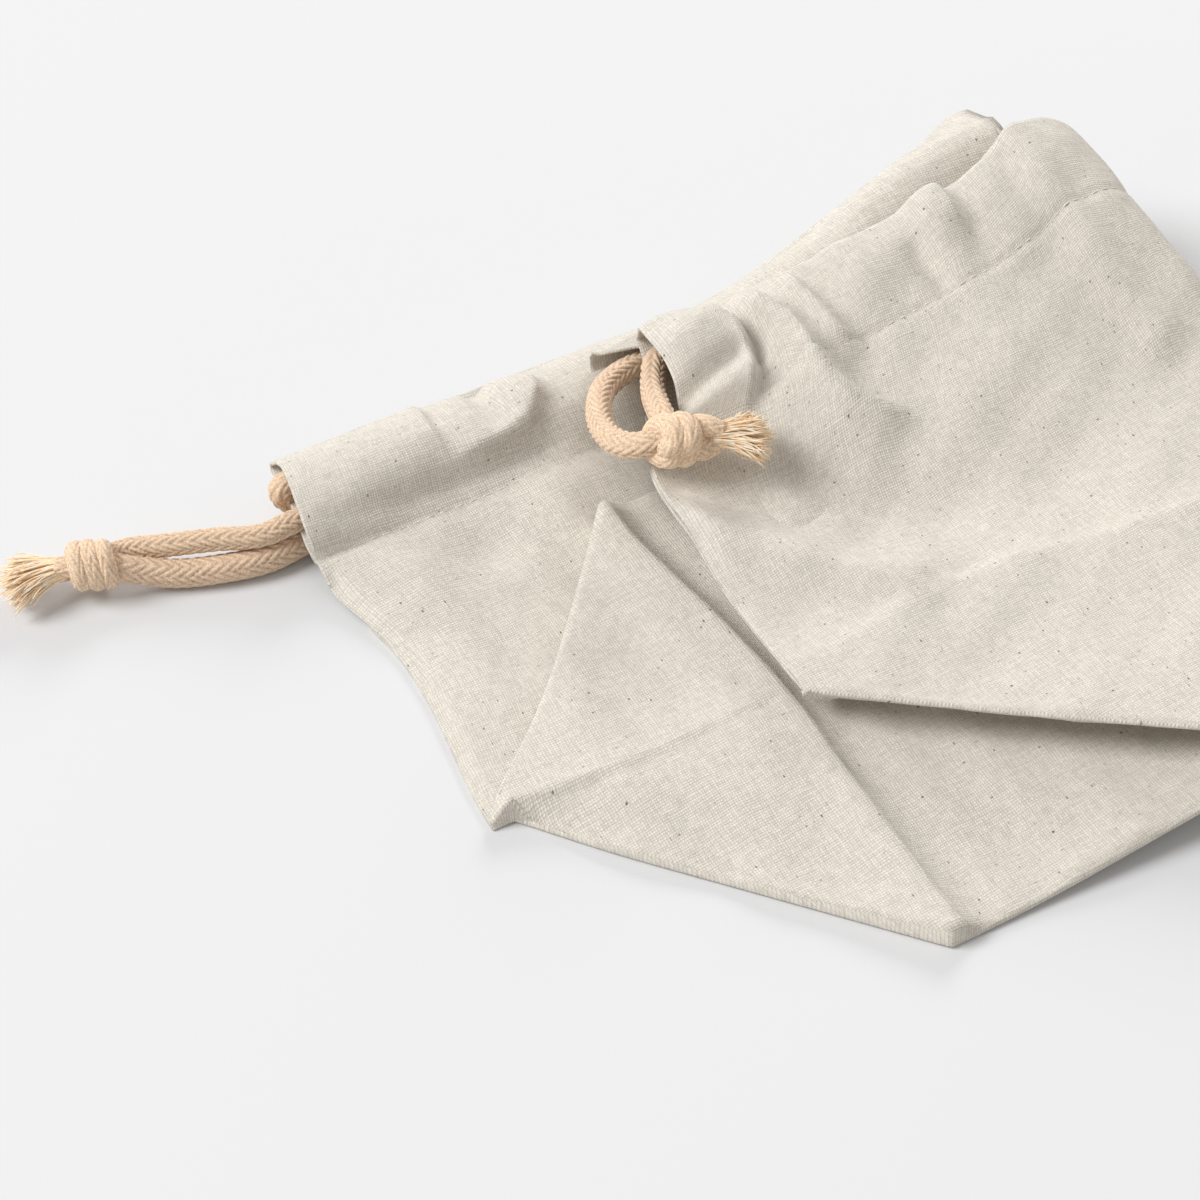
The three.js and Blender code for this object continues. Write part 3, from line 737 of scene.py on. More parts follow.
def spline(points, steps):
    """A smooth curve through points, with steps per stretch."""
    points = np.array(points, float)
    ends = [2 * points[0] - points[1]], points, [2 * points[-1] - points[-2]]
    p = np.concatenate(ends)
    gaps = np.sqrt(np.linalg.norm(np.diff(p, axis=0), axis=1))
    curve = []
    t = np.linspace(0, 1, steps, endpoint=False)[:, None]
    for i in range(1, len(p) - 2):
        a, b, c = gaps[i - 1], gaps[i], gaps[i + 1]
        start = (p[i] - p[i - 1]) / a - (p[i + 1] - p[i - 1]) / (a + b) + (p[i + 1] - p[i]) / b
        end = (p[i + 1] - p[i]) / b - (p[i + 2] - p[i]) / (b + c) + (p[i + 2] - p[i + 1]) / c
        start, end = start * b, end * b
        curve.append(
            p[i] * (2 * t**3 - 3 * t**2 + 1) + start * (t**3 - 2 * t**2 + t)
            + p[i + 1] * (3 * t**2 - 2 * t**3) + end * (t**3 - t**2)
        )
    return np.concatenate([*curve, p[-2:-1]])


def lengths(points):
    """The length of a curve up to each of its points."""
    return np.concatenate([[0], np.cumsum(np.linalg.norm(np.diff(points, axis=0), axis=1))])


def along_curve(points, places):
    """Points of a curve at given lengths along it."""
    gone = lengths(points)
    return np.stack([np.interp(places, gone, points[:, k]) for k in range(3)], axis=-1)


NEARLY_UPRIGHT = 0.1


def carried_frames(points):
    """Two directions across a curve at each point, carried along it without twist."""
    ahead = unit(np.gradient(points, axis=0))
    across = np.cross(ahead[0], (0.0, 0.0, 1.0))
    if np.linalg.norm(across) < NEARLY_UPRIGHT:
        across = np.cross(ahead[0], (0.0, 1.0, 0.0))
    sides = []
    for direction in ahead:
        across = across - direction * (across @ direction)
        across = across / np.linalg.norm(across)
        sides.append(across)
    sides = np.array(sides)
    return sides, np.cross(ahead, sides)


def tube(points, radii):
    """Rings of points about a curve. radii has one row per point and one column per side."""
    side, up = carried_frames(points)
    angle = 2 * np.pi * np.arange(radii.shape[1]) / radii.shape[1]
    ring = np.cos(angle)[None, :, None] * side[:, None] + np.sin(angle)[None, :, None] * up[:, None]
    return points[:, None] + radii[..., None] * ring


def capped(rings, first=0):
    """Points and faces of a closed tube from its rings, with its points counted from first on."""
    rows, columns = rings.shape[:2]
    hubs = np.stack([rings[0].mean(axis=0), rings[-1].mean(axis=0)])
    points = np.concatenate([rings.reshape(-1, 3), hubs])
    around = first + np.arange(columns)
    ahead = np.roll(around, -1)
    last, hub = (rows - 1) * columns, first + rows * columns
    faces = [list(f) for f in first + grid_faces(rows, columns, wrap=True)]
    faces += [[b, a, hub] for a, b in zip(around, ahead)]
    faces += [[a + last, b + last, hub + 1] for a, b in zip(around, ahead)]
    return points, faces


def joined(tubes):
    """Points and faces of several closed tubes, each from its rings."""
    points, faces, first = [], [], 0
    for rings in tubes:
        more, around = capped(rings, first)
        first += len(more)
        points.append(more)
        faces += around
    return np.concatenate(points), faces


# The braid: columns of stitches round the cord, points of each, the stitches' slant and depth, how round
# a column is, how much of a stitch is left between columns, and the mean rise, which keeps the diameter
BRAID = SimpleNamespace(columns=8, per_column=8, slant=0.75, depth=0.5, round=2.4, between=0.35, mean=0.72)


def braid_radii(places, radius, stitch, shown=1.0):
    """Radius of a braided cord: columns of slanted stitches that lean to and fro."""
    sides = BRAID.columns * BRAID.per_column
    column = np.arange(sides) / BRAID.per_column
    inside = column % 1 - 0.5 + 0.5 / BRAID.per_column
    lean = np.where(np.floor(column) % 2 == 0, 1, -1)
    stagger = 0.5 * (np.floor(column / 2) % 2)
    phase = places[:, None] / stitch + (lean * inside * 2 * BRAID.slant + stagger)[None, :]
    stitch_rise = np.sqrt(np.abs(np.sin(np.pi * phase)))
    column_rise = np.sqrt(np.clip(1 - (2 * np.abs(inside)) ** BRAID.round, 0, 1))[None, :]
    relief_share = stitch_rise * lerp(BRAID.between, 1, column_rise)
    depth = BRAID.depth * np.reshape(shown, (-1, 1))
    return radius + depth * (relief_share - BRAID.mean)


def in_part(point):
    """A point of the ties' tables in the part's frame."""
    return np.array([point[0] - ORIGIN[0], point[1] - ORIGIN[1], point[2]], float)


# Points of a cord's run: where the front casing stands up, as shares of the way before its crest, where
# the back one nears the fold, round the fold and home from it
STAND_STEPS = (1, 0.75, 0.5, 0.25, 0.17, 0.1)
BACK_LEAD = 20
FOLD_POINTS, HOME_POINTS = 12, 9
# The cords come down from the standing casing this far after its inner wall starts to
CORD_LAG = 2


def casing_run(side, at, end):
    """A cord's run through one casing, from the left slit to its end near the right one."""
    y = STITCH + CASING_DEPTH * at
    *_, turn_start, turn_end = (float(v) for v in lay_at(y))
    rises = [STAND.u - t * STAND.before for t in STAND_STEPS]
    first = [0, *(rises if side == "front" else [RISE_START, STAND.u - BACK_LEAD])]
    round_fold = np.linspace(turn_start, turn_end, FOLD_POINTS)
    us = np.concatenate([first, round_fold, np.linspace(turn_end, end, HOME_POINTS)[1:]])
    if side == "front":
        falling = 1 - smooth((us - STAND.u + STAND.lead - CORD_LAG) / STAND.fall)
        seat = FRONT_SEAT + STAND.rise * at * stand_share(us) * falling
    else:
        seat = BACK_SEAT + 0 * us
    seat = seat * pressed(us, PRESS.cord_share)
    near = (1 - smooth(us / CORD_DROOP.reach)) * smooth((CORD_DROOP.seat - at) / CORD_DROOP.ease)
    drop = CORD_DROOP.front if side == "front" else CORD_DROOP.back
    return place(us, y - CORD_DROOP.down * near, seat - drop * near, side)


# The loop's points: angles round it, how far it is set back, and how far over to the back casing they lie
LOOP_ANGLES, LOOP_BACK, LOOP_SHARES = (45, 90, 135), 0.3, (0.2, 0.5, 0.8)


def casing_loop(end, outward, y, from_w, to_w):
    """The short loop of a cord from one casing round into the other."""
    radius = abs(from_w - to_w) / 2
    angle = np.radians(LOOP_ANGLES)
    u = end + outward * (radius * np.sin(angle) - LOOP_BACK)
    w = lerp(from_w, to_w, (1 - np.cos(angle)) / 2)
    front, back = place(u, y + 0 * u, w, "front"), place(u, y + 0 * u, w, "back")
    return lerp(front, back, np.array(LOOP_SHARES)[:, None])


def knot_point(tie, local):
    """A point of a knot's own frame, whose x runs through it to the tuft, in the part's frame."""
    a = math.radians(tie.heading)
    local = np.asarray(local, float)
    x = local[..., 0] * math.cos(a) - local[..., 1] * math.sin(a)
    y = local[..., 0] * math.sin(a) + local[..., 1] * math.cos(a)
    return np.stack([x, y, local[..., 2]], axis=-1) + in_part(tie.middle)


ROUTE_STEPS = 24
# Where a cord's two ends go into its knot, in the knot's own frame
KNOT_ENTRIES = (-1.5, 0.6, 0.8), (-1.5, -0.6, -0.8)


def drawcord_route(name):
    """A cord's route from its knot, through both casings and back, what shows and its loop's middle."""
    tie = TIES[name]
    at = CORD_SEATS[name]
    y = STITCH + CASING_DEPTH * at
    left = name == "left"
    front_end, back_end = CORD_ENDS[name]
    front, back = casing_run("front", at, front_end), casing_run("back", at, back_end)
    loop = casing_loop(front_end if left else 0, 1 if left else -1, y, FRONT_SEAT, BACK_SEAT)
    out, home = (front, back[::-1]) if left else (front[::-1], back)
    start = [in_part(p) for p in tie.front[::-1]]
    end = [in_part(p) for p in tie.back]
    head, tail = (knot_point(tie, entry) for entry in KNOT_ENTRIES)
    route = np.array([head, *start, *out, *loop, *home, *end, tail])
    curve = spline(route, ROUTE_STEPS)
    gone = lengths(curve)[::ROUTE_STEPS]
    shown = (gone[len(start)], gone[-1] - gone[-1 - len(end)])
    middle = gone[1 + len(start) + len(out) + 1]
    return curve, shown, middle


# A cord's girth at its front and back strands: one is drawn taut, the other lies slack
CORD_GIRTH = {"left": (0.88, 1.06), "right": (0.98, 0.94)}
# Rings of a cord: their distance where it shows, every so many of them inside, how far into the casing and
# about the loop the fine ones go, how often the route is smoothed, and rings to one point of its path
RINGS = SimpleNamespace(step=0.26, coarse=9, inside=9.0, loop=14, smoothings=2, to_path=4)


def drawcord_mesh(name, diameter, stitch, finish):
    """A braided cord, finest where it shows, and the points of its path."""
    curve, (front, back), middle = drawcord_route(name)
    total = lengths(curve)[-1]
    fine = np.arange(0, total, RINGS.step)
    exposed = (fine < front + RINGS.inside) | (fine > total - back - RINGS.inside)
    exposed = exposed | (np.abs(fine - middle) < RINGS.loop)
    keep = exposed | (np.arange(len(fine)) % RINGS.coarse == 0)
    places = np.append(fine[keep], total)
    points = along_curve(curve, places)
    for _ in range(RINGS.smoothings):
        points[1:-1] = 0.25 * points[:-2] + 0.5 * points[1:-1] + 0.25 * points[2:]
    shown = np.append(exposed[keep], True).astype(float)
    taut, slack = CORD_GIRTH[name]
    at_front, at_back = smooth(2 - places / front), smooth(2 - (total - places) / back)
    girth = 1 + (taut - 1) * at_front + (slack - 1) * at_back
    radii = braid_radii(places, diameter / 2 * girth[:, None], stitch, shown)
    piece = new_mesh("drawcord_" + name + "_braid", *capped(tube(points, radii)), finish)
    path = [*points[:-1:RINGS.to_path].tolist(), points[-1].tolist()]
    return piece, np.array(path) * MM


# The turns of a knot: points, the angles where they start and lean most, and how they dive into it
TURNS = SimpleNamespace(points=200, start=3.6, lean=2.2, dive=0.16, dive_reach=0.12, braid=0.6)
# The two strands of its tail: from inside the knot to beyond the tail, their twist and the lobe they make
TAIL = SimpleNamespace(
    inside=1.0, beyond=0.5, step=0.24, turn=0.4, twist=0.16, lobe_at=3.6, lobe_span=4.4,
    beside=1.15, lobe_beside=0.35, flat=0.85, strand=1.65, lobe_strand=0.22, braid=0.8,
)
# What fills its middle
CORE = SimpleNamespace(start=-4.4, end=4.0, points=20, half_length=5.2, least=0.2, braid=0.2)


def knot_mesh(name, stitch, finish):
    """A knot: the doubled cord drawn tight about itself, and its doubled tail."""
    tie, knot = TIES[name], KNOTS[name]
    strands = []
    t = np.linspace(0, 1, TURNS.points)
    angle = 2 * np.pi * knot.turns * t + TURNS.start
    reach = knot.wrap * lerp(TURNS.dive_reach, 1, smooth(np.minimum(t, 1 - t) / TURNS.dive))
    for beside in (-knot.beside, knot.beside):
        x = lerp(knot.start, knot.end, t) + beside + knot.lean * np.cos(angle - TURNS.lean)
        path = np.stack([x, reach * np.cos(angle), reach * np.sin(angle)], axis=-1)
        strands.append((path, knot.strand, TURNS.braid))
    for turn in (TAIL.turn, TAIL.turn + math.pi):
        x = np.arange(-TAIL.inside, tie.tail + TAIL.beyond, TAIL.step)
        angle = turn + TAIL.twist * x
        lobe = bump((x - TAIL.lobe_at) / TAIL.lobe_span)
        reach = TAIL.beside + TAIL.lobe_beside * knot.lobe * lobe
        path = np.stack([x, reach * np.cos(angle), TAIL.flat * reach * np.sin(angle)], axis=-1)
        strands.append((path, TAIL.strand + TAIL.lobe_strand * knot.lobe * lobe, TAIL.braid))
    x = np.linspace(CORE.start, CORE.end, CORE.points)
    path = np.stack([x, 0 * x, 0 * x], axis=-1)
    radius = knot.core * np.sqrt(np.clip(1 - (x / CORE.half_length) ** 2, CORE.least, 1))
    strands.append((path, radius, CORE.braid))
    tubes = []
    for path, radius, shown in strands:
        tubes.append(tube(path, braid_radii(lengths(path), np.reshape(radius, (-1, 1)), stitch, shown)))
    points, faces = joined(tubes)
    return new_mesh("knot_" + name + "_turns", knot_point(tie, points), faces, finish)


TUFT_SEEDS = {"left": 11, "right": 12}
TUFT_BUNDLES = (-0.45, -0.1, 0.15, 0.5)
# Each strand lies this many half turns on from the one before, which spreads them evenly
STRAND_TURN = 3 - math.sqrt(5)
# A tuft's strands: where they start inside the tail, how far they reach, fan out, curl, open and sag, how
# far they stay off the table, and how they thin. A pair is the least and the most of a chance value
TUFT = SimpleNamespace(
    points=8, sides=4, inside=1.6, turn=(-0.3, 0.3), shorter=0.18, reach=(-0.28, 0.12),
    fan=0.34, fan_side=0.9, fan_stray=(-0.35, 0.35), fan_power=1.4, fan_shorter=0.1,
    curl=(0.2, 0.8), curl_turn=(0, 6.3), curl_side=5, curl_up=4,
    half_width=1.9, half_height=1.7, opened=1.7, sag=1.6, clear=0.25, root=1.2, tip=0.8,
)


def tuft_mesh(name, count, fibre, finish):
    """Frayed ends of the two cords, fanning out of the tail."""
    tie = TIES[name]
    draw = np.random.default_rng(TUFT_SEEDS[name])
    tubes = []
    t = np.linspace(0, 1, TUFT.points)
    radii = np.repeat((fibre * lerp(TUFT.root, TUFT.tip, t))[:, None], TUFT.sides, axis=1)
    for i in range(count):
        share = math.sqrt((i + 0.5) / count)
        around = i * math.pi * STRAND_TURN + draw.uniform(*TUFT.turn)
        side, up = share * math.cos(around), share * math.sin(around)
        bundle = TUFT_BUNDLES[int((side + 1) / 2 * len(TUFT_BUNDLES)) % len(TUFT_BUNDLES)]
        reach = tie.tuft * (1.0 - TUFT.shorter * share + draw.uniform(*TUFT.reach))
        fan = bundle + TUFT.fan_side * side + draw.uniform(*TUFT.fan_stray)
        curl, turn = draw.uniform(*TUFT.curl), draw.uniform(*TUFT.curl_turn)
        x = tie.tail - TUFT.inside + (reach + TUFT.inside) * t * (1 - TUFT.fan_shorter * abs(fan) * t)
        y = TUFT.half_width * side + TUFT.fan * reach * fan * t**TUFT.fan_power
        z = TUFT.half_height * up * lerp(1, TUFT.opened, t) - TUFT.sag * t * t
        y = y + curl * np.sin(TUFT.curl_side * t + turn) * t
        z = z + curl * np.cos(TUFT.curl_up * t + turn) * t
        z = np.maximum(z, fibre - tie.middle[2] + TUFT.clear)
        tubes.append(tube(np.stack([x, y, z], axis=-1), radii))
    points, faces = joined(tubes)
    return new_mesh("knot_" + name + "_tuft", knot_point(tie, points), faces, finish)


def surface_point(layer, u, y, rumple_depth):
    """A point of the outer face of a panel just below its casing, and the way out of it there."""
    u, y = np.asarray(u, float), np.asarray(y, float)
    if layer == "front":
        casing = wall_height("run", u, (y - STITCH) / CASING_DEPTH)
        w, outward = np.where(y > STITCH, casing, front_height(u, y)), 1
    else:
        w, outward = FLOOR_LAYER + 0 * u, -1
    w = w + outward * (relief(layer, u, y) + rumple_depth * rumple(u, y))
    point = place(u, y, w, layer)
    return point, place(u, y, w + outward, layer) - point


# Stitches: the first one's start, how far the last stays from the far side, their pitch and length, points
# and sides, how the thread arches over and is sunk in the cloth, its radius and how its ends taper
STITCHES = SimpleNamespace(
    first=2.0, last=4, pitch=2.9, length=2.2, points=7, sides=6, arch=0.2, sunk=0.16, radius=0.17, taper=0.06
)


def stitch_mesh(thickness, rumple_depth, finish):
    """Rows of stitches that close both casings."""
    tubes = []
    t = np.linspace(0, 1, STITCHES.points)
    lift = thickness / 2 + STITCHES.arch * np.sin(np.pi * t) ** 0.5 - STITCHES.sunk
    radius = STITCHES.radius * np.sqrt(np.sin(np.pi * lerp(STITCHES.taper, 1 - STITCHES.taper, t)))
    radii = np.repeat(radius[:, None], STITCHES.sides, axis=1)
    for layer in ("front", "back"):
        for start in np.arange(STITCHES.first, FLAT_WIDTH - STITCHES.last, STITCHES.pitch):
            u = start + STITCHES.length * t
            if np.min(stitches_show(layer, u)) < 0.5:
                continue
            points, out = surface_point(layer, u, stitch_line(layer, u), rumple_depth)
            tubes.append(tube(points + unit(out) * lift[:, None], radii))
    return new_mesh("casing_stitches", *joined(tubes), finish)


class Field:
    """A shader socket that sums can be written with: each operator adds its Math node."""

    def __init__(self, finish, socket):
        self.finish = finish
        self.socket = socket

    def math(self, operation, *others):
        return self.finish.maths(operation, self, *others)

    def __add__(self, other):
        return self.math("ADD", other)

    __radd__ = __add__

    def __sub__(self, other):
        return self.math("SUBTRACT", other)

    def __rsub__(self, other):
        return self.finish.maths("SUBTRACT", other, self)

    def __mul__(self, other):
        return self.math("MULTIPLY", other)

    __rmul__ = __mul__

    def __truediv__(self, other):
        return self.math("DIVIDE", other)

    def __rtruediv__(self, other):
        return self.finish.maths("DIVIDE", other, self)

    def sin(self):
        return self.math("SINE")

    def size(self):
        return self.math("ABSOLUTE")

    def clear(self, low, high):
        """0 below low, 1 above high and smooth between."""
        values = {"Value": self, "From Min": low, "From Max": high}
        return self.finish.node("ShaderNodeMapRange", {"interpolation_type": "SMOOTHSTEP"}, values)

    def beside(self, out):
        """Another output of the same node."""
        return Field(self.finish, self.socket.node.outputs[out])


# Sockets of a Mix node, whose names are alike for values and colours
MIX_SHARE, VALUE_A, VALUE_B, COLOUR_A, COLOUR_B, MIXED_COLOUR = 0, 2, 3, 6, 7, 2


class Finish:
    """A material and the nodes that feed its one shader."""

    def __init__(self, name, **constants):
        self.material = bpy.data.materials.new(name)
        self.material.use_nodes = True
        self.tree = self.material.node_tree
        self.shader = self.tree.nodes["Principled BSDF"]
        for socket, value in constants.items():
            self.shader.inputs[socket.replace("_", " ")].default_value = value

    def node(self, kind, settings=None, values=None, out=0):
        """Any node: its settings are set first, then the values or links of its sockets."""
        node = self.tree.nodes.new(kind)
        for name, value in (settings or {}).items():
            setattr(node, name, value)
        for name, value in (values or {}).items():
            if isinstance(value, Field):
                self.tree.links.new(value.socket, node.inputs[name])
            else:
                node.inputs[name].default_value = value
        return Field(self, node.outputs[out])

    def feed(self, socket, field):
        self.tree.links.new(field.socket, self.shader.inputs[socket])

    def maths(self, operation, *values):
        return self.node("ShaderNodeMath", {"operation": operation}, dict(enumerate(values)))

    def split(self, vector):
        x = self.node("ShaderNodeSeparateXYZ", values={"Vector": vector})
        return x, x.beside("Y"), x.beside("Z")

    def join(self, x, y, z=0.0):
        return self.node("ShaderNodeCombineXYZ", values={"X": x, "Y": y, "Z": z})

    def on_piece(self):
        """Places on the piece itself, in metres."""
        return self.node("ShaderNodeTexCoord", out="Object")

    def noise(self, vector, scale, detail=2.0, roughness=0.5):
        values = {"Vector": vector, "Scale": scale, "Detail": detail, "Roughness": roughness}
        return self.node("ShaderNodeTexNoise", {"noise_dimensions": "3D"}, values)

    def mix(self, share, a, b):
        """Colours a and b, mixed by share."""
        a, b = (colour if isinstance(colour, Field) else (*colour, 1) for colour in (a, b))
        values = {MIX_SHARE: share, COLOUR_A: a, COLOUR_B: b}
        return self.node("ShaderNodeMix", {"data_type": "RGBA"}, values, out=MIXED_COLOUR)

    def bump(self, height, strength, distance):
        values = {"Height": height, "Strength": strength, "Distance": distance}
        self.feed("Normal", self.node("ShaderNodeBump", values=values))


def shade(colour, factor):
    """A colour made darker or lighter."""
    return tuple(min(1.0, c * factor) for c in colour)


# The weave. Scales are cells to a metre of cloth, sway and slubs are told in threads, and depth in metres.
# A pair is where a mask starts and where it is full. Light, dark and shades are shares of the linen's colour
WEAVE = SimpleNamespace(
    sway_scale=130.0, sway=2.2, over=(-0.35, 0.35),
    slub_across=0.9, slub_along=0.14, weft_apart=7.0, slub=(0.3, 0.72), light=1.13, dark=0.84,
    cloud_scale=38.0, cloud=(0.3, 0.75), cloud_share=0.12, cloud_shade=0.82,
    # Painted shade: the holes and gaps between the threads are darkened in the colour
    hole=(0.25, 1.0), hole_share=0.75, gap=(0.45, 1.0), gap_share=0.2, hole_painted_shade=0.45,
    crown_rise=0.7, slub_rise=0.9, bump=0.55, depth=0.00016,
)
# Flecks of bark in the thread: a turn of the pattern, cells per metre across and along, and size
FLECKS = [
    (1, (300, 360), 0.1), (2, (420, 260), 0.1), (3, (150, 175), 0.05), (4, (640, 430), 0.14),
    (5, (950, 150), 0.08), (6, (150, 950), 0.08),
]
# How far a turn shifts their cells, a fleck's solid core, which cells have one, and how dark they are
FLECK = SimpleNamespace(shift_across=13.7, shift_along=3.1, core=0.5, rare=(0.9, 0.94), deep=0.8, least=0.1)


def linen_finish(settings):
    """Plain weave of uneven natural threads, with dark flecks and painted shade between the threads."""
    finish = Finish("natural linen", Roughness=0.93, Sheen_Weight=0.12, Sheen_Roughness=0.5)
    cut = finish.node("ShaderNodeUVMap", {"uv_map": "cut"})
    across, along, _ = finish.split(cut)
    sway = finish.noise(cut, WEAVE.sway_scale, detail=1.0) * WEAVE.sway
    threads_u, threads_v = across / settings.weave_pitch + sway, along / settings.weave_pitch - sway
    wave_u, wave_v = (threads_u * math.pi).sin(), (threads_v * math.pi).sin()
    wave = wave_u * wave_v
    warp_place = finish.join(threads_u * WEAVE.slub_across, threads_v * WEAVE.slub_along)
    weft_place = finish.join(threads_u * WEAVE.slub_along, threads_v * WEAVE.slub_across, WEAVE.weft_apart)
    warp, weft = finish.noise(warp_place, 1.0), finish.noise(weft_place, 1.0)
    threads = {MIX_SHARE: wave.clear(*WEAVE.over), VALUE_A: warp, VALUE_B: weft}
    thread = finish.node("ShaderNodeMix", {"data_type": "FLOAT"}, threads)
    cloud = finish.noise(cut, WEAVE.cloud_scale, detail=3.0)
    light, dark = shade(settings.colour, WEAVE.light), shade(settings.colour, WEAVE.dark)
    tone = finish.mix(thread.clear(*WEAVE.slub), dark, light)
    clouded = cloud.clear(*WEAVE.cloud) * WEAVE.cloud_share
    tone = finish.mix(clouded, tone, shade(settings.colour, WEAVE.cloud_shade))
    # Painted shade in the holes and gaps between the threads
    beside_u, beside_v = 1 - wave_u.size(), 1 - wave_v.size()
    painted_shade_holes = beside_u.clear(*WEAVE.hole) * beside_v.clear(*WEAVE.hole) * WEAVE.hole_share
    gaps = (1 - wave.size()).clear(*WEAVE.gap) * WEAVE.gap_share
    tone = finish.mix(painted_shade_holes + gaps, tone, shade(settings.colour, WEAVE.hole_painted_shade))
    for turn, (wide, long), size in FLECKS:
        spread_u = across * wide + FLECK.shift_across * turn
        spread_v = along * long + FLECK.shift_along * turn
        cells = {"Vector": finish.join(spread_u, spread_v), "Scale": 1.0}
        spot = finish.node("ShaderNodeTexVoronoi", {"voronoi_dimensions": "2D"}, cells)
        chosen, dim, _ = finish.split(spot.beside("Color"))
        strength = dim * dim * dim * FLECK.deep + FLECK.least
        fleck = (1 - spot.clear(size * FLECK.core, size)) * chosen.clear(*FLECK.rare) * strength
        tone = finish.mix(fleck, tone, settings.fleck)
    finish.feed("Base Color", tone)
    height = wave.size() * WEAVE.crown_rise + thread * WEAVE.slub_rise
    finish.bump(height, WEAVE.bump, WEAVE.depth)
    return finish.material


# Cotton yarn, in the same terms: fibres, paler patches, and painted shade that darkens the hollows between
# stitches
COTTON = SimpleNamespace(
    fibre_scale=2600.0, fibre=(0.3, 0.7), dark=0.72, light=1.2, painted_shade_hollow=(0.42, 0.52), painted_shade_tone=0.55,
    patch_scale=420.0, patch=(0.4, 0.7), patch_share=0.22, patch_shade=1.25, bump=0.5, depth=0.0002,
)
# Painted light: the knots take a lighter copy of the cord's colour, though they are the same cord
KNOT_PAINTED_LIGHT = 1.08


def cord_finish(name, colour):
    """Soft cotton yarn with fine fibres, and painted shade darkening the hollows between its stitches."""
    finish = Finish(name, Roughness=0.9, Sheen_Weight=0.25, Sheen_Roughness=0.45)
    place_on = finish.on_piece()
    fibre = finish.noise(place_on, COTTON.fibre_scale, detail=3.0, roughness=0.65)
    patch = finish.noise(place_on, COTTON.patch_scale)
    tone = finish.mix(fibre.clear(*COTTON.fibre), shade(colour, COTTON.dark), shade(colour, COTTON.light))
    # Painted shade: where pointiness is low, in the hollows between stitches, the colour is darkened
    painted_shade_pointiness = finish.node("ShaderNodeNewGeometry", out="Pointiness")
    tone = finish.mix(painted_shade_pointiness.clear(*COTTON.painted_shade_hollow), shade(colour, COTTON.painted_shade_tone), tone)
    patchy = patch.clear(*COTTON.patch) * COTTON.patch_share
    tone = finish.mix(patchy, tone, shade(colour, COTTON.patch_shade))
    finish.feed("Base Color", tone)
    finish.bump(fibre, COTTON.bump, COTTON.depth)
    return finish.material


FRAYED = SimpleNamespace(scale=900.0, strand=(0.32, 0.66), bump=0.2, depth=0.0001)


def tuft_finish(colour, deep):
    """Loose cotton fibres in two tones, mixed by noise."""
    finish = Finish("frayed cotton", Roughness=0.85, Sheen_Weight=0.3, Sheen_Roughness=0.4)
    strand = finish.noise(finish.on_piece(), FRAYED.scale)
    finish.feed("Base Color", finish.mix(strand.clear(*FRAYED.strand), deep, colour))
    finish.bump(strand, FRAYED.bump, FRAYED.depth)
    return finish.material


THREAD = SimpleNamespace(scale=3000.0, ply=(0.3, 0.7), dark=0.8, light=1.1)


def thread_finish(colour):
    """Sewing thread with its twisted plies."""
    finish = Finish("sewing thread", Roughness=0.8, Sheen_Weight=0.1)
    ply = finish.noise(finish.on_piece(), THREAD.scale).clear(*THREAD.ply)
    finish.feed("Base Color", finish.mix(ply, shade(colour, THREAD.dark), shade(colour, THREAD.light)))
    return finish.material


TABLE = SimpleNamespace(scale=3.0, dark=0.985)


def floor_finish(colour):
    """A pale table with a hardly seen unevenness."""
    finish = Finish("pale table", Roughness=0.7)
    grain = finish.noise(finish.on_piece(), TABLE.scale)
    finish.feed("Base Color", finish.mix(grain, shade(colour, TABLE.dark), colour))
    return finish.material


class ClothSettings(bpy.types.PropertyGroup):
    """Sizes and colours of the linen."""

    thickness: FloatProperty(
        name="Thickness",
        description="Thickness of the cloth",
        default=0.0006,
        min=0.0002,
        max=0.002,
        unit="LENGTH",
    )
    weave_pitch: FloatProperty(
        name="Weave pitch",
        description="Distance from thread to thread",
        default=0.00048,
        min=0.0001,
        unit="LENGTH",
    )
    rumple: FloatProperty(
        name="Rumple",
        description="Depth of the cloth's soft unevenness",
        default=0.00036,
        min=0,
        unit="LENGTH",
    )
    colour: FloatVectorProperty(
        name="Linen", description="Colour of the linen", default=(0.734, 0.69, 0.614), subtype="COLOR"
    )
    fleck: FloatVectorProperty(
        name="Flecks", description="Colour of the dark flecks", default=(0.12, 0.085, 0.06), subtype="COLOR"
    )


class CordSettings(bpy.types.PropertyGroup):
    """Sizes and colours of the drawcords, their knots and tufts."""

    diameter: FloatProperty(
        name="Diameter", description="Thickness of a drawcord", default=0.0048, min=0.001, unit="LENGTH"
    )
    stitch: FloatProperty(
        name="Braid stitch",
        description="Length of one stitch of the braid",
        default=0.0021,
        min=0.0005,
        unit="LENGTH",
    )
    colour: FloatVectorProperty(
        name="Cord", description="Colour of the cord", default=(0.785, 0.578, 0.406), subtype="COLOR"
    )
    strands: IntProperty(
        name="Tuft strands", description="Frayed strands of a tuft", default=360, min=20, max=500
    )
    fibre: FloatProperty(
        name="Strand size",
        description="Half thickness of a frayed strand",
        default=0.00019,
        min=0.00005,
        unit="LENGTH",
    )
    tuft: FloatVectorProperty(
        name="Tuft", description="Colour of the frayed ends", default=(0.98, 0.86, 0.68), subtype="COLOR"
    )
    tuft_deep: FloatVectorProperty(
        name="Tuft shade", description="Colour deep in the tuft", default=(0.95, 0.68, 0.42), subtype="COLOR"
    )


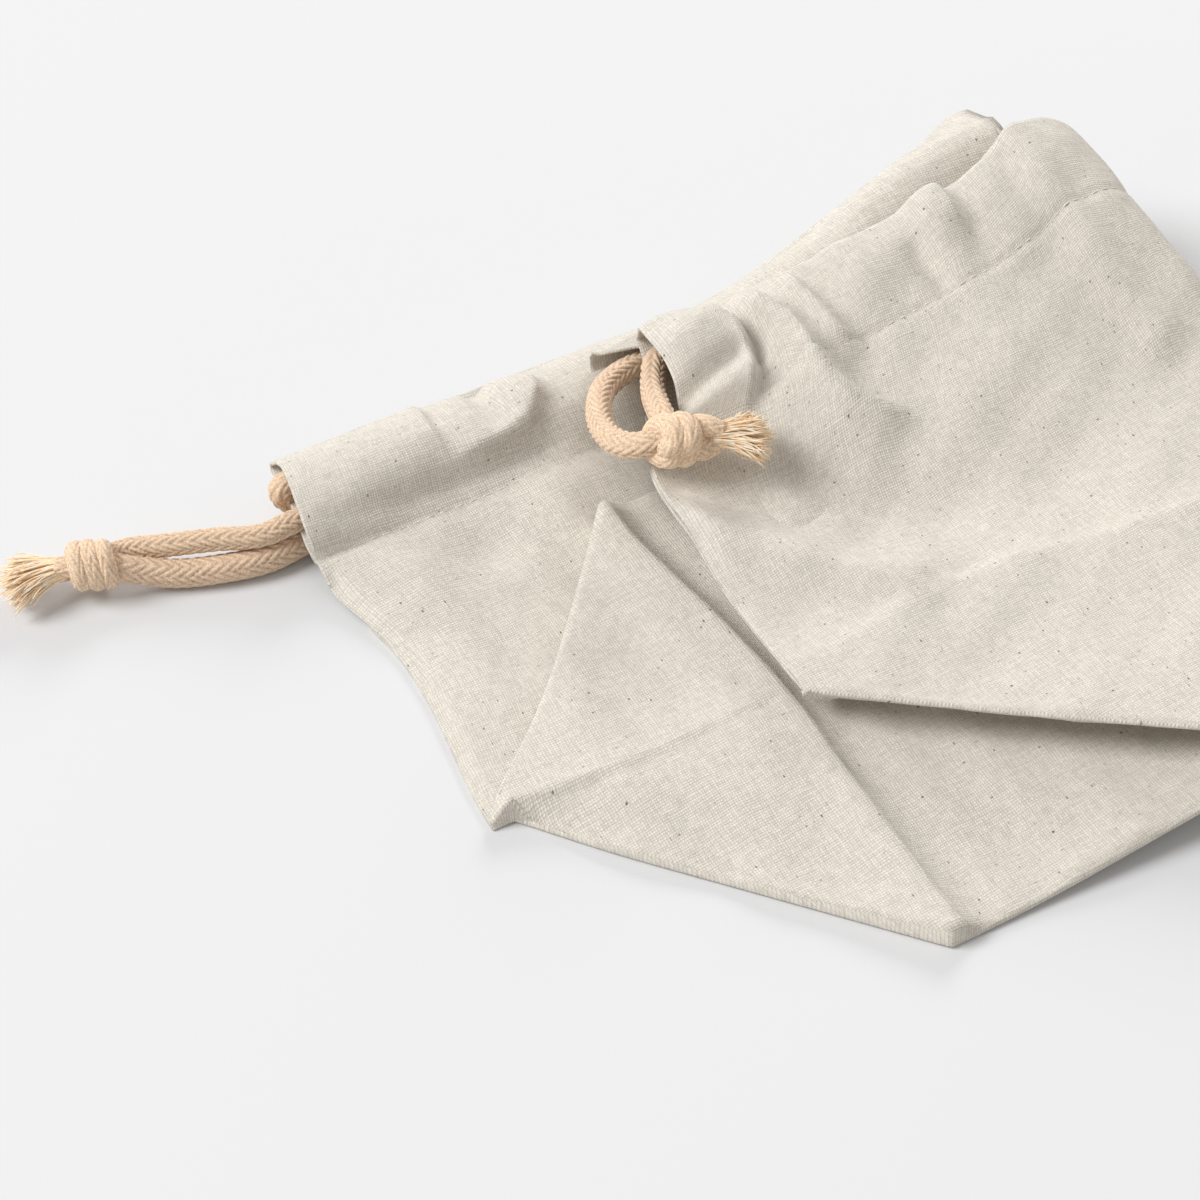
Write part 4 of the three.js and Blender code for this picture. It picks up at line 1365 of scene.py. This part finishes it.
class StageSettings(bpy.types.PropertyGroup):
    """View, floor and light."""

    azimuth: FloatProperty(
        name="Azimuth",
        description="Turn of the view round the bag",
        default=math.radians(-29.59),
        subtype="ANGLE",
    )
    elevation: FloatProperty(
        name="Elevation", description="Height of the view", default=math.radians(45.35), subtype="ANGLE"
    )
    distance: FloatProperty(name="Distance", description="Camera to its aim", default=0.5372, unit="LENGTH")
    lens: FloatProperty(
        name="Lens", description="Focal length in millimetres", default=90, min=10, unit="CAMERA"
    )
    aim: FloatVectorProperty(
        name="Aim",
        description="Point at the middle of the view",
        default=(-0.04794, 0.02042, 0),
        subtype="XYZ",
    )
    floor: FloatVectorProperty(
        name="Floor", description="Colour of the floor", default=(0.718, 0.728, 0.745), subtype="COLOR"
    )
    key: FloatProperty(
        name="Key light", description="Power of the large light", default=142, min=0, unit="POWER"
    )
    sky: FloatProperty(name="Surround", description="Strength of the even light", default=0.48, min=0)


def view_back(stage):
    """The way from the aim to the camera."""
    level = math.cos(stage.elevation)
    x, y = math.sin(stage.azimuth) * level, -math.cos(stage.azimuth) * level
    return Vector((x, y, math.sin(stage.elevation)))


SENSOR_WIDTH, CLIP_START = 36, 0.01
FLOOR_REACH = 3000
SURROUND_COLOUR = (1.0, 0.965, 0.925, 1)
# Large lights: place in metres, size and share of the key light's power
LIGHTS = [
    ("window_light", (-2.7, 1.2, 2.8), 2.3, 1.0),
    ("edge_light", (2.5, 2.3, 1.6), 1.6, 0.42),
]


def set_camera(scene, stage):
    """A camera with the view that the settings give."""
    lens = bpy.data.cameras.new("photo_view")
    lens.lens = stage.lens
    lens.sensor_width = SENSOR_WIDTH
    lens.clip_start = CLIP_START
    camera = bpy.data.objects.new("photo_view", lens)
    back = view_back(stage)
    camera.location = Vector(stage.aim) + back * stage.distance
    camera.rotation_euler = back.to_track_quat("Z", "Y").to_euler()
    scene.collection.objects.link(camera)
    scene.camera = camera


def set_floor(stage):
    """A wide plain table."""
    corners = [(x * FLOOR_REACH, y * FLOOR_REACH, 0) for x, y in ((-1, -1), (1, -1), (1, 1), (-1, 1))]
    floor = new_mesh("floor", corners, [(0, 1, 2, 3)], floor_finish(stage.floor))


def set_lights(scene, stage):
    """Large soft lights in an even surround."""
    for name, spot, size, power in LIGHTS:
        lamp = bpy.data.lights.new(name, "AREA")
        lamp.shape = "DISK"
        lamp.size = size
        lamp.energy = power * stage.key
        light = bpy.data.objects.new(name, lamp)
        light.location = spot
        light.rotation_euler = Vector(spot).to_track_quat("Z", "Y").to_euler()
        scene.collection.objects.link(light)
    world = bpy.data.worlds.new("soft surround")
    world.use_nodes = True
    surround = world.node_tree.nodes["Background"]
    surround.inputs["Color"].default_value = SURROUND_COLOUR
    surround.inputs["Strength"].default_value = stage.sky
    scene.world = world


class LUNCHBAG_OT_stage(bpy.types.Operator):
    """Set up the camera, the pale floor and the soft light"""

    bl_idname = "lunchbag.stage"
    bl_label = "Stage"

    def execute(self, context):
        stage = context.scene.lunchbag_stage
        set_camera(context.scene, stage)
        set_floor(stage)
        set_lights(context.scene, stage)
        context.scene.view_settings.view_transform = "Standard"
        return {"FINISHED"}


class LUNCHBAG_OT_drawcords(bpy.types.Operator):
    """Make both braided drawcords, their knots and frayed tufts"""

    bl_idname = "lunchbag.drawcords"
    bl_label = "Drawcords"

    def execute(self, context):
        cord = context.scene.lunchbag_cord
        braid = cord_finish("braided cotton", cord.colour)
        # The knots' finish is the cord's with painted light: its colour made lighter
        painted_lighter_knot = cord_finish("knotted cotton painted lighter", shade(cord.colour, KNOT_PAINTED_LIGHT))
        frayed = tuft_finish(cord.tuft, cord.tuft_deep)
        for name in TIES:
            piece, path = drawcord_mesh(name, cord.diameter / MM, cord.stitch / MM, braid)
            knot = knot_mesh(name, cord.stitch / MM, painted_lighter_knot)
            tuft = tuft_mesh(name, cord.strands, cord.fibre / MM, frayed)
            for made, slot in ((piece, "cord"), (knot, "cord"), (tuft, "tuft")):
                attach(made, BODY)
            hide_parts("drawcord_" + name)
            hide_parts("knot_" + name)
        return {"FINISHED"}


class LUNCHBAG_OT_cloth(bpy.types.Operator):
    """Make the folded linen body"""

    bl_idname = "lunchbag.cloth"
    bl_label = "Linen body"

    def execute(self, context):
        cloth = context.scene.lunchbag_cloth
        grid, leave, arrive = cloth_grid(cloth.rumple / MM)
        piece = sheet_mesh("bag_linen", grid, leave, arrive, cloth.thickness / MM, linen_finish(cloth))
        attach(piece, BODY)
        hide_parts("bag_body")
        return {"FINISHED"}


class LUNCHBAG_OT_stitches(bpy.types.Operator):
    """Make the stitches that close the casings"""

    bl_idname = "lunchbag.stitches"
    bl_label = "Casing stitches"

    def execute(self, context):
        cloth = context.scene.lunchbag_cloth
        thread = thread_finish(cloth.colour)
        piece = stitch_mesh(cloth.thickness / MM, cloth.rumple / MM, thread)
        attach(piece, BODY)
        return {"FINISHED"}


STEPS = (LUNCHBAG_OT_stage, LUNCHBAG_OT_drawcords, LUNCHBAG_OT_cloth, LUNCHBAG_OT_stitches)


class LUNCHBAG_PT_sidebar(bpy.types.Panel):
    """Settings and steps of the lunch bag"""

    bl_idname = "LUNCHBAG_PT_sidebar"
    bl_label = "Drawstring lunch bag"
    bl_space_type = "VIEW_3D"
    bl_region_type = "UI"
    bl_category = "Lunch bag"

    def draw(self, context):
        scene = context.scene
        for group in (scene.lunchbag_stage, scene.lunchbag_cord, scene.lunchbag_cloth):
            box = self.layout.box()
            for name in group.__annotations__:
                box.prop(group, name)
        for step in STEPS:
            self.layout.operator(step.bl_idname)


GROUPS = {"lunchbag_stage": StageSettings, "lunchbag_cord": CordSettings, "lunchbag_cloth": ClothSettings}


def register():
    for group in (*GROUPS.values(), *STEPS, LUNCHBAG_PT_sidebar):
        bpy.utils.register_class(group)
    for name, group in GROUPS.items():
        setattr(bpy.types.Scene, name, PointerProperty(type=group))


def unregister():
    for name in GROUPS:
        delattr(bpy.types.Scene, name)
    for group in (LUNCHBAG_PT_sidebar, *reversed(STEPS), *GROUPS.values()):
        bpy.utils.unregister_class(group)


def main():
    register()
    bpy.ops.lunchbag.stage()
    bpy.ops.lunchbag.drawcords()
    bpy.ops.lunchbag.cloth()
    bpy.ops.lunchbag.stitches()


if __name__ == "__main__":
    main()
